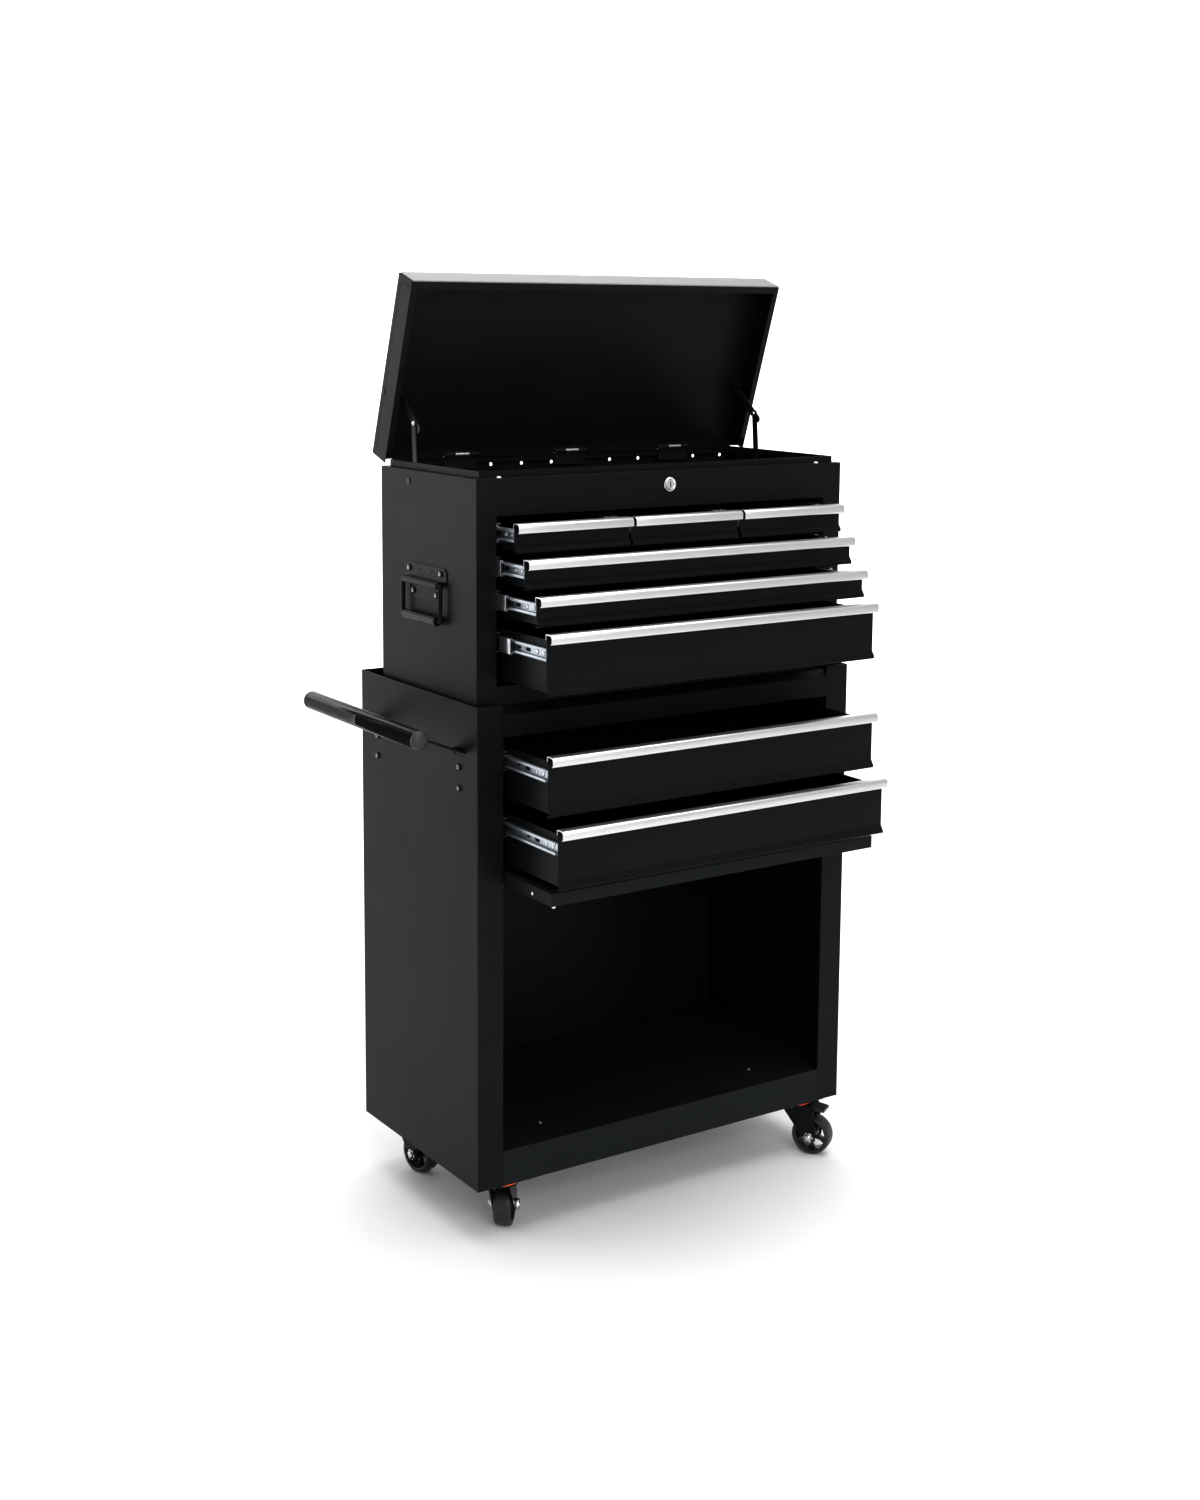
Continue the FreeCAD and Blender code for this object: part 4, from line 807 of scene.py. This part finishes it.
# Each ring below is a painted highlight: a bright steel dish in the middle of a black screw head, where
# a glint sits on the domed head.
rings = []
for middle in middles("fasteners"):
    if not BASE_TOP <= middle.z <= STUD_FOOT:
        continue
    side = math.copysign(1.0, middle.x)
    reach = CABINET_RING_X if middle.z < CHEST_FOOT else CHEST_RING_X
    ring = [(r * MM, h * side * MM) for r, h in recess]
    rings.append(lathe(ring, (side * reach, middle.y, middle.z), "X", 20))
piece("screw_painted_highlights", joined(rings), STEEL_AND_PAINTED_HIGHLIGHT, "cabinet")
print("screws with a painted highlight ring:", len(rings))

# %% [markdown]
# ## Small things that only show up close
# Two white bumpers on the chest's rim meet the lid, a nylon stop and a small pin sit at the door's
# corner, and two screws hold the compartment floor. Bumpers and stops are low discs, so one profile
# that is flat on top and rounded at the rim makes them, and the screws are the pan heads from before.


# %% Bumpers, stops and floor screws
def disc(radius, height, centre, axis, out):
    rim = [(0, 1.0), (0.55, 0.96), (0.86, 0.75), (1.0, 0.4), (1.0, 0.0)]
    return lathe([(r * radius, h * height * out) for r, h in rim], centre, axis, 24)


door, tray = Span("door_panel"), Span("floor_pan")
BUMPER_X, BUMPER_BACK, SHOULDER_Z = (-264 * MM, 258 * MM), 4.5 * MM, 941 * MM
FLOOR_SCREW_X, FLOOR_SCREW_BACK = (-178 * MM, 184 * MM), 55 * MM
bumpers = [disc(3.0 * MM, 2.2 * MM, (x, chest.y0 + BUMPER_BACK, SHOULDER_Z), "Z", 1)
           for x in BUMPER_X]
piece("lid_bumpers", joined(bumpers), WHITE_NYLON, "cabinet")
stops = [disc(2.6 * MM, 3.4 * MM, (door.x0 + 6 * MM, door.y0 + 4 * MM, door.z0), "Z", -1),
         disc(2.2 * MM, 0.8 * MM, (door.x0, door.y0 + 45 * MM, door.z0 + 6.5 * MM), "X", -1)]
piece("door_stops", joined(stops), DOOR_NYLON, "door")
floor_screws = [screw_head((x, tray.y0 + FLOOR_SCREW_BACK, tray.z1), "Z", 1, 3.2 * MM, 1.4 * MM)
                for x in FLOOR_SCREW_X]
piece("floor_screws", joined(floor_screws), BOLT_STEEL, "cabinet")
print("small pieces:", len(bumpers) + len(stops) + len(floor_screws))

# %% [markdown]
# ## Casters
# Under each plate an orange seal covers the swivel race. The fork is glossy, the axle ends in a bright
# hexagon nut, and the wheel is a deep-rimmed moulding whose five spokes meet at a hub. Everything is
# built with the wheel trailing along X, then turned to where the frame's wheel stands.


# %% Profiles of the caster's parts
def hexagon(radius):
    return [(radius * math.cos(math.pi / 3 * i), radius * math.sin(math.pi / 3 * i)) for i in range(6)]


def in_mm(points):
    return [(a * MM, b * MM) for a, b in points]


WHEEL_R, NUT_R, SPOKES, SPOKE_HALF = 29 * MM, 8.2 * MM, 5, 4.5 * MM
FIRST_SPOKE = 20                             # degrees
SWIVEL_X, SWIVEL_Y = 254 * MM, 130.5 * MM
rim = [(22.2, -9.0), (22.6, -11.4), (23.4, -12.0), (25.0, -12.0), (27.4, -11.2), (28.7, -9.2),
       (29.0, -6.5), (29.0, 6.5), (28.7, 9.2), (27.4, 11.2), (25.0, 12.0), (23.4, 12.0),
       (22.6, 11.4), (22.2, 9.0), (21.4, 3.0), (21.2, 0.0), (21.4, -3.0), (22.2, -9.0)]
hub = [(4.1, -12.0), (6.6, -12.0), (7.4, -11.4), (8.0, -9.0), (8.4, 0.0), (8.0, 9.0), (7.4, 11.4),
       (6.6, 12.0), (4.1, 12.0), (4.1, -12.0)]
spoke_outline = [(6.5, -3.4), (15, -2.2), (21.8, -4.2), (21.8, 4.2), (15, 2.2), (6.5, 3.4)]
seal = [(4.5, -6.6), (22.6, -6.55), (23.9, -6.1), (24.25, -4.6), (23.9, -3.0), (23.4, -2.52)]
axle_tip = [(0, 22.6), (2.6, 22.4), (4.1, 21.2), (4.1, 19.0)]
print("caster profiles ready, spokes:", SPOKES)


# %% A wheel's centre and its axle nuts
def wheel_centre():
    parts = [lathe(in_mm(hub), (0, 0, 0), "Y", 40)]
    for i in range(SPOKES):
        spoke = prism(in_mm(spoke_outline), -SPOKE_HALF, SPOKE_HALF, "Y", 0.6 * MM)
        spoke.transform(Matrix.Rotation(math.radians(360 / SPOKES * i + FIRST_SPOKE), 4, "Y"))
        parts.append(spoke)
    return joined(parts)


def axle_nuts():
    parts = []
    for side in (-1, 1):
        parts.append(prism(hexagon(NUT_R), side * 15.5 * MM, side * 20.0 * MM, "Y", 0.5 * MM))
        tip = [(r * MM, side * d * MM) for r, d in axle_tip]
        parts.append(lathe(tip, (0, 0, 0), "Y", 28))
    return joined(parts)


print("wheel makers ready")

# %% Casters
soften("door_pins", PIN_STEEL_DOOR, "door_carriage", fold=0.4 * MM)
plates = softened("caster_tops", 0.4 * MM, 0.3 * MM)
piece("caster_plates", plates, PLATE_BLACK, "cabinet", ("caster_tops",))
seals = []
for node in WHEEL_NODES:
    corner = node[len("caster_wheel_"):]
    wheel, fork = Span(node), "caster_fork_" + corner
    swivel = Vector((math.copysign(SWIVEL_X, wheel.middle.x),
                     math.copysign(SWIVEL_Y, wheel.middle.y), 0))
    trail = wheel.middle - swivel
    turn = math.atan2(trail.y, trail.x)
    seals.append(lathe(in_mm(seal), swivel, "Z", 72))
    axle = Matrix.Translation((wheel.middle.x, wheel.middle.y, wheel.z0 + WHEEL_R))
    place = axle @ Matrix.Rotation(turn, 4, "Z")
    tyre, centre = lathe(in_mm(rim), (0, 0, 0), "Y", 72), wheel_centre()
    for mesh in (tyre, centre):
        mesh.transform(place)
    piece("wheel_tyre_" + corner, tyre, TREAD_RUBBER, "wheel_" + corner, (node,))
    piece("wheel_centre_" + corner, centre, WHEEL_PLASTIC, "wheel_" + corner)
    soften(fork, GLOSS_BLACK, "fork_" + corner, fold=0.5 * MM)
    nuts = axle_nuts()
    nuts.transform(place)
    piece("axle_nuts_" + corner, nuts, AXLE_STEEL, "fork_" + corner)
for corner in ("front_left", "front_right"):
    soften("brake_pedal_" + corner, PEDAL_PLASTIC, "brake_" + corner, fold=0.9 * MM)
piece("orange_seals", joined(seals), SEAL_ORANGE, "cabinet")
print("casters ready, pieces so far:", len(pieces_made))

# %% [markdown]
# ## Room, light and camera
# A chest like this is shown on a pale sweep under large soft lamps. The camera stands to the front
# left, just below the height of the open lid's top edge, and looks slightly down. A small lens
# shift, and not more tilt, sets how high the chest stands in the frame.


# %% Camera
LENS_MM, SENSOR_MM, SHIFT_UP = 47.85, 36.0, -0.1033
STAND = Vector((-1.5618, -2.3191, 1.1527))
YAW, PITCH, ROLL = math.radians(33.72), math.radians(8.12), math.radians(0.41)

lens = bpy.data.cameras.new("camera")
lens.lens, lens.sensor_width, lens.shift_y = LENS_MM, SENSOR_MM, SHIFT_UP
lens.clip_start, lens.clip_end = 0.05, 60.0
camera = bpy.data.objects.new("camera", lens)
aim = Matrix.Rotation(-YAW, 4, "Z") @ Matrix.Rotation(math.pi / 2 - PITCH, 4, "X")
camera.matrix_world = Matrix.Translation(STAND) @ aim @ Matrix.Rotation(ROLL, 4, "Z")
bpy.context.scene.collection.objects.link(camera)
bpy.context.scene.camera = camera
print("camera stands", [round(v, 2) for v in STAND])

# %% [markdown]
# The floor runs into the backdrop through one large curve, so that no horizon shows behind the chest.
# It is a strip of ten facets with smooth shading, wide enough for every view.

# %% Floor and backdrop
FLOOR_Z = Span(*WHEEL_NODES).z0
REACH, RISE, BEND_START, TURN, FACETS = 9.0, 7.0, 3.0, 2.5, 10
floor_mesh = bpy.data.meshes.new("floor")
sweep = bmesh.new()
rows = []
profile = [(-REACH, 0.0), (BEND_START, 0.0)]
profile += [(BEND_START + TURN * math.sin(a), TURN - TURN * math.cos(a))
            for a in [math.radians(90 / FACETS * i) for i in range(1, FACETS + 1)]]
profile += [(BEND_START + TURN, RISE)]
for y, z in profile:
    rows.append([sweep.verts.new((x, y, FLOOR_Z + z)) for x in (-REACH, REACH)])
for near, far in zip(rows, rows[1:]):
    sweep.faces.new((near[0], near[1], far[1], far[0]))
sweep.to_mesh(floor_mesh)
sweep.free()
floor = bpy.data.objects.new("floor", floor_mesh)
bpy.context.scene.collection.objects.link(floor)
pale = Finish("pale floor", None, (0.9, 0.9, 0.9), 0.85)
pale.feed("Base Color", pale.blend(pale.noise(3.0, 2.0), (0.9, 0.9, 0.9), (0.93, 0.93, 0.93)))
floor_mesh.materials.append(pale.material)
for polygon in floor_mesh.polygons:
    polygon.use_smooth = True
print("floor at", round(FLOOR_Z / MM, 1), "mm")

# %% [markdown]
# The largest lamp on the chest hangs overhead and runs a bright line along every pull. One in front
# lifts the drawers, and a weak one at the back left keeps the left side from going flat. Two more are
# turned to the sweep, so that it stays white behind a black chest, and the world adds a soft fill.


# %% Lamps
def soft_lamp(name, place, target, width, height, power):
    light = bpy.data.lights.new(name, "AREA")
    light.shape, light.size, light.size_y, light.energy = "RECTANGLE", width, height, power
    lamp = bpy.data.objects.new(name, light)
    lamp.location = place
    lamp.rotation_euler = (Vector(target) - Vector(place)).to_track_quat("-Z", "Y").to_euler()
    bpy.context.scene.collection.objects.link(lamp)
    return lamp


CHEST_MIDDLE = (0.0, 0.0, 0.6)
LAMPS = (("back left softbox", (-2.6, 3.0, 1.1), CHEST_MIDDLE, 1.8, 1.5, 24.0),
         ("front softbox", (-1.0, -4.2, 2.4), CHEST_MIDDLE, 2.6, 1.6, 62.0),
         ("overhead softbox", (0.2, -0.4, 3.8), CHEST_MIDDLE, 3.4, 3.0, 110.0),
         ("backdrop lamp", (1.4, 2.2, 4.2), (2.6, 5.5, 1.6), 4.0, 1.0, 190.0),
         ("backdrop side lamp", (5.0, 1.8, 3.6), (5.6, 5.0, 2.2), 2.4, 1.6, 160.0))
for settings in LAMPS:
    soft_lamp(*settings)
world = bpy.data.worlds.new("studio air")
bpy.context.scene.world = world
world.use_nodes = True
air = world.node_tree.nodes["Background"]
air.inputs["Color"].default_value = (1.0, 1.0, 1.0, 1)
air.inputs["Strength"].default_value = 0.7
bpy.context.scene.view_settings.view_transform = "Standard"
bpy.context.scene.view_settings.gamma = 0.78
print("lamps:", len(LAMPS))

# %% The number of pieces, and the end
print("pieces:", len(pieces_made))
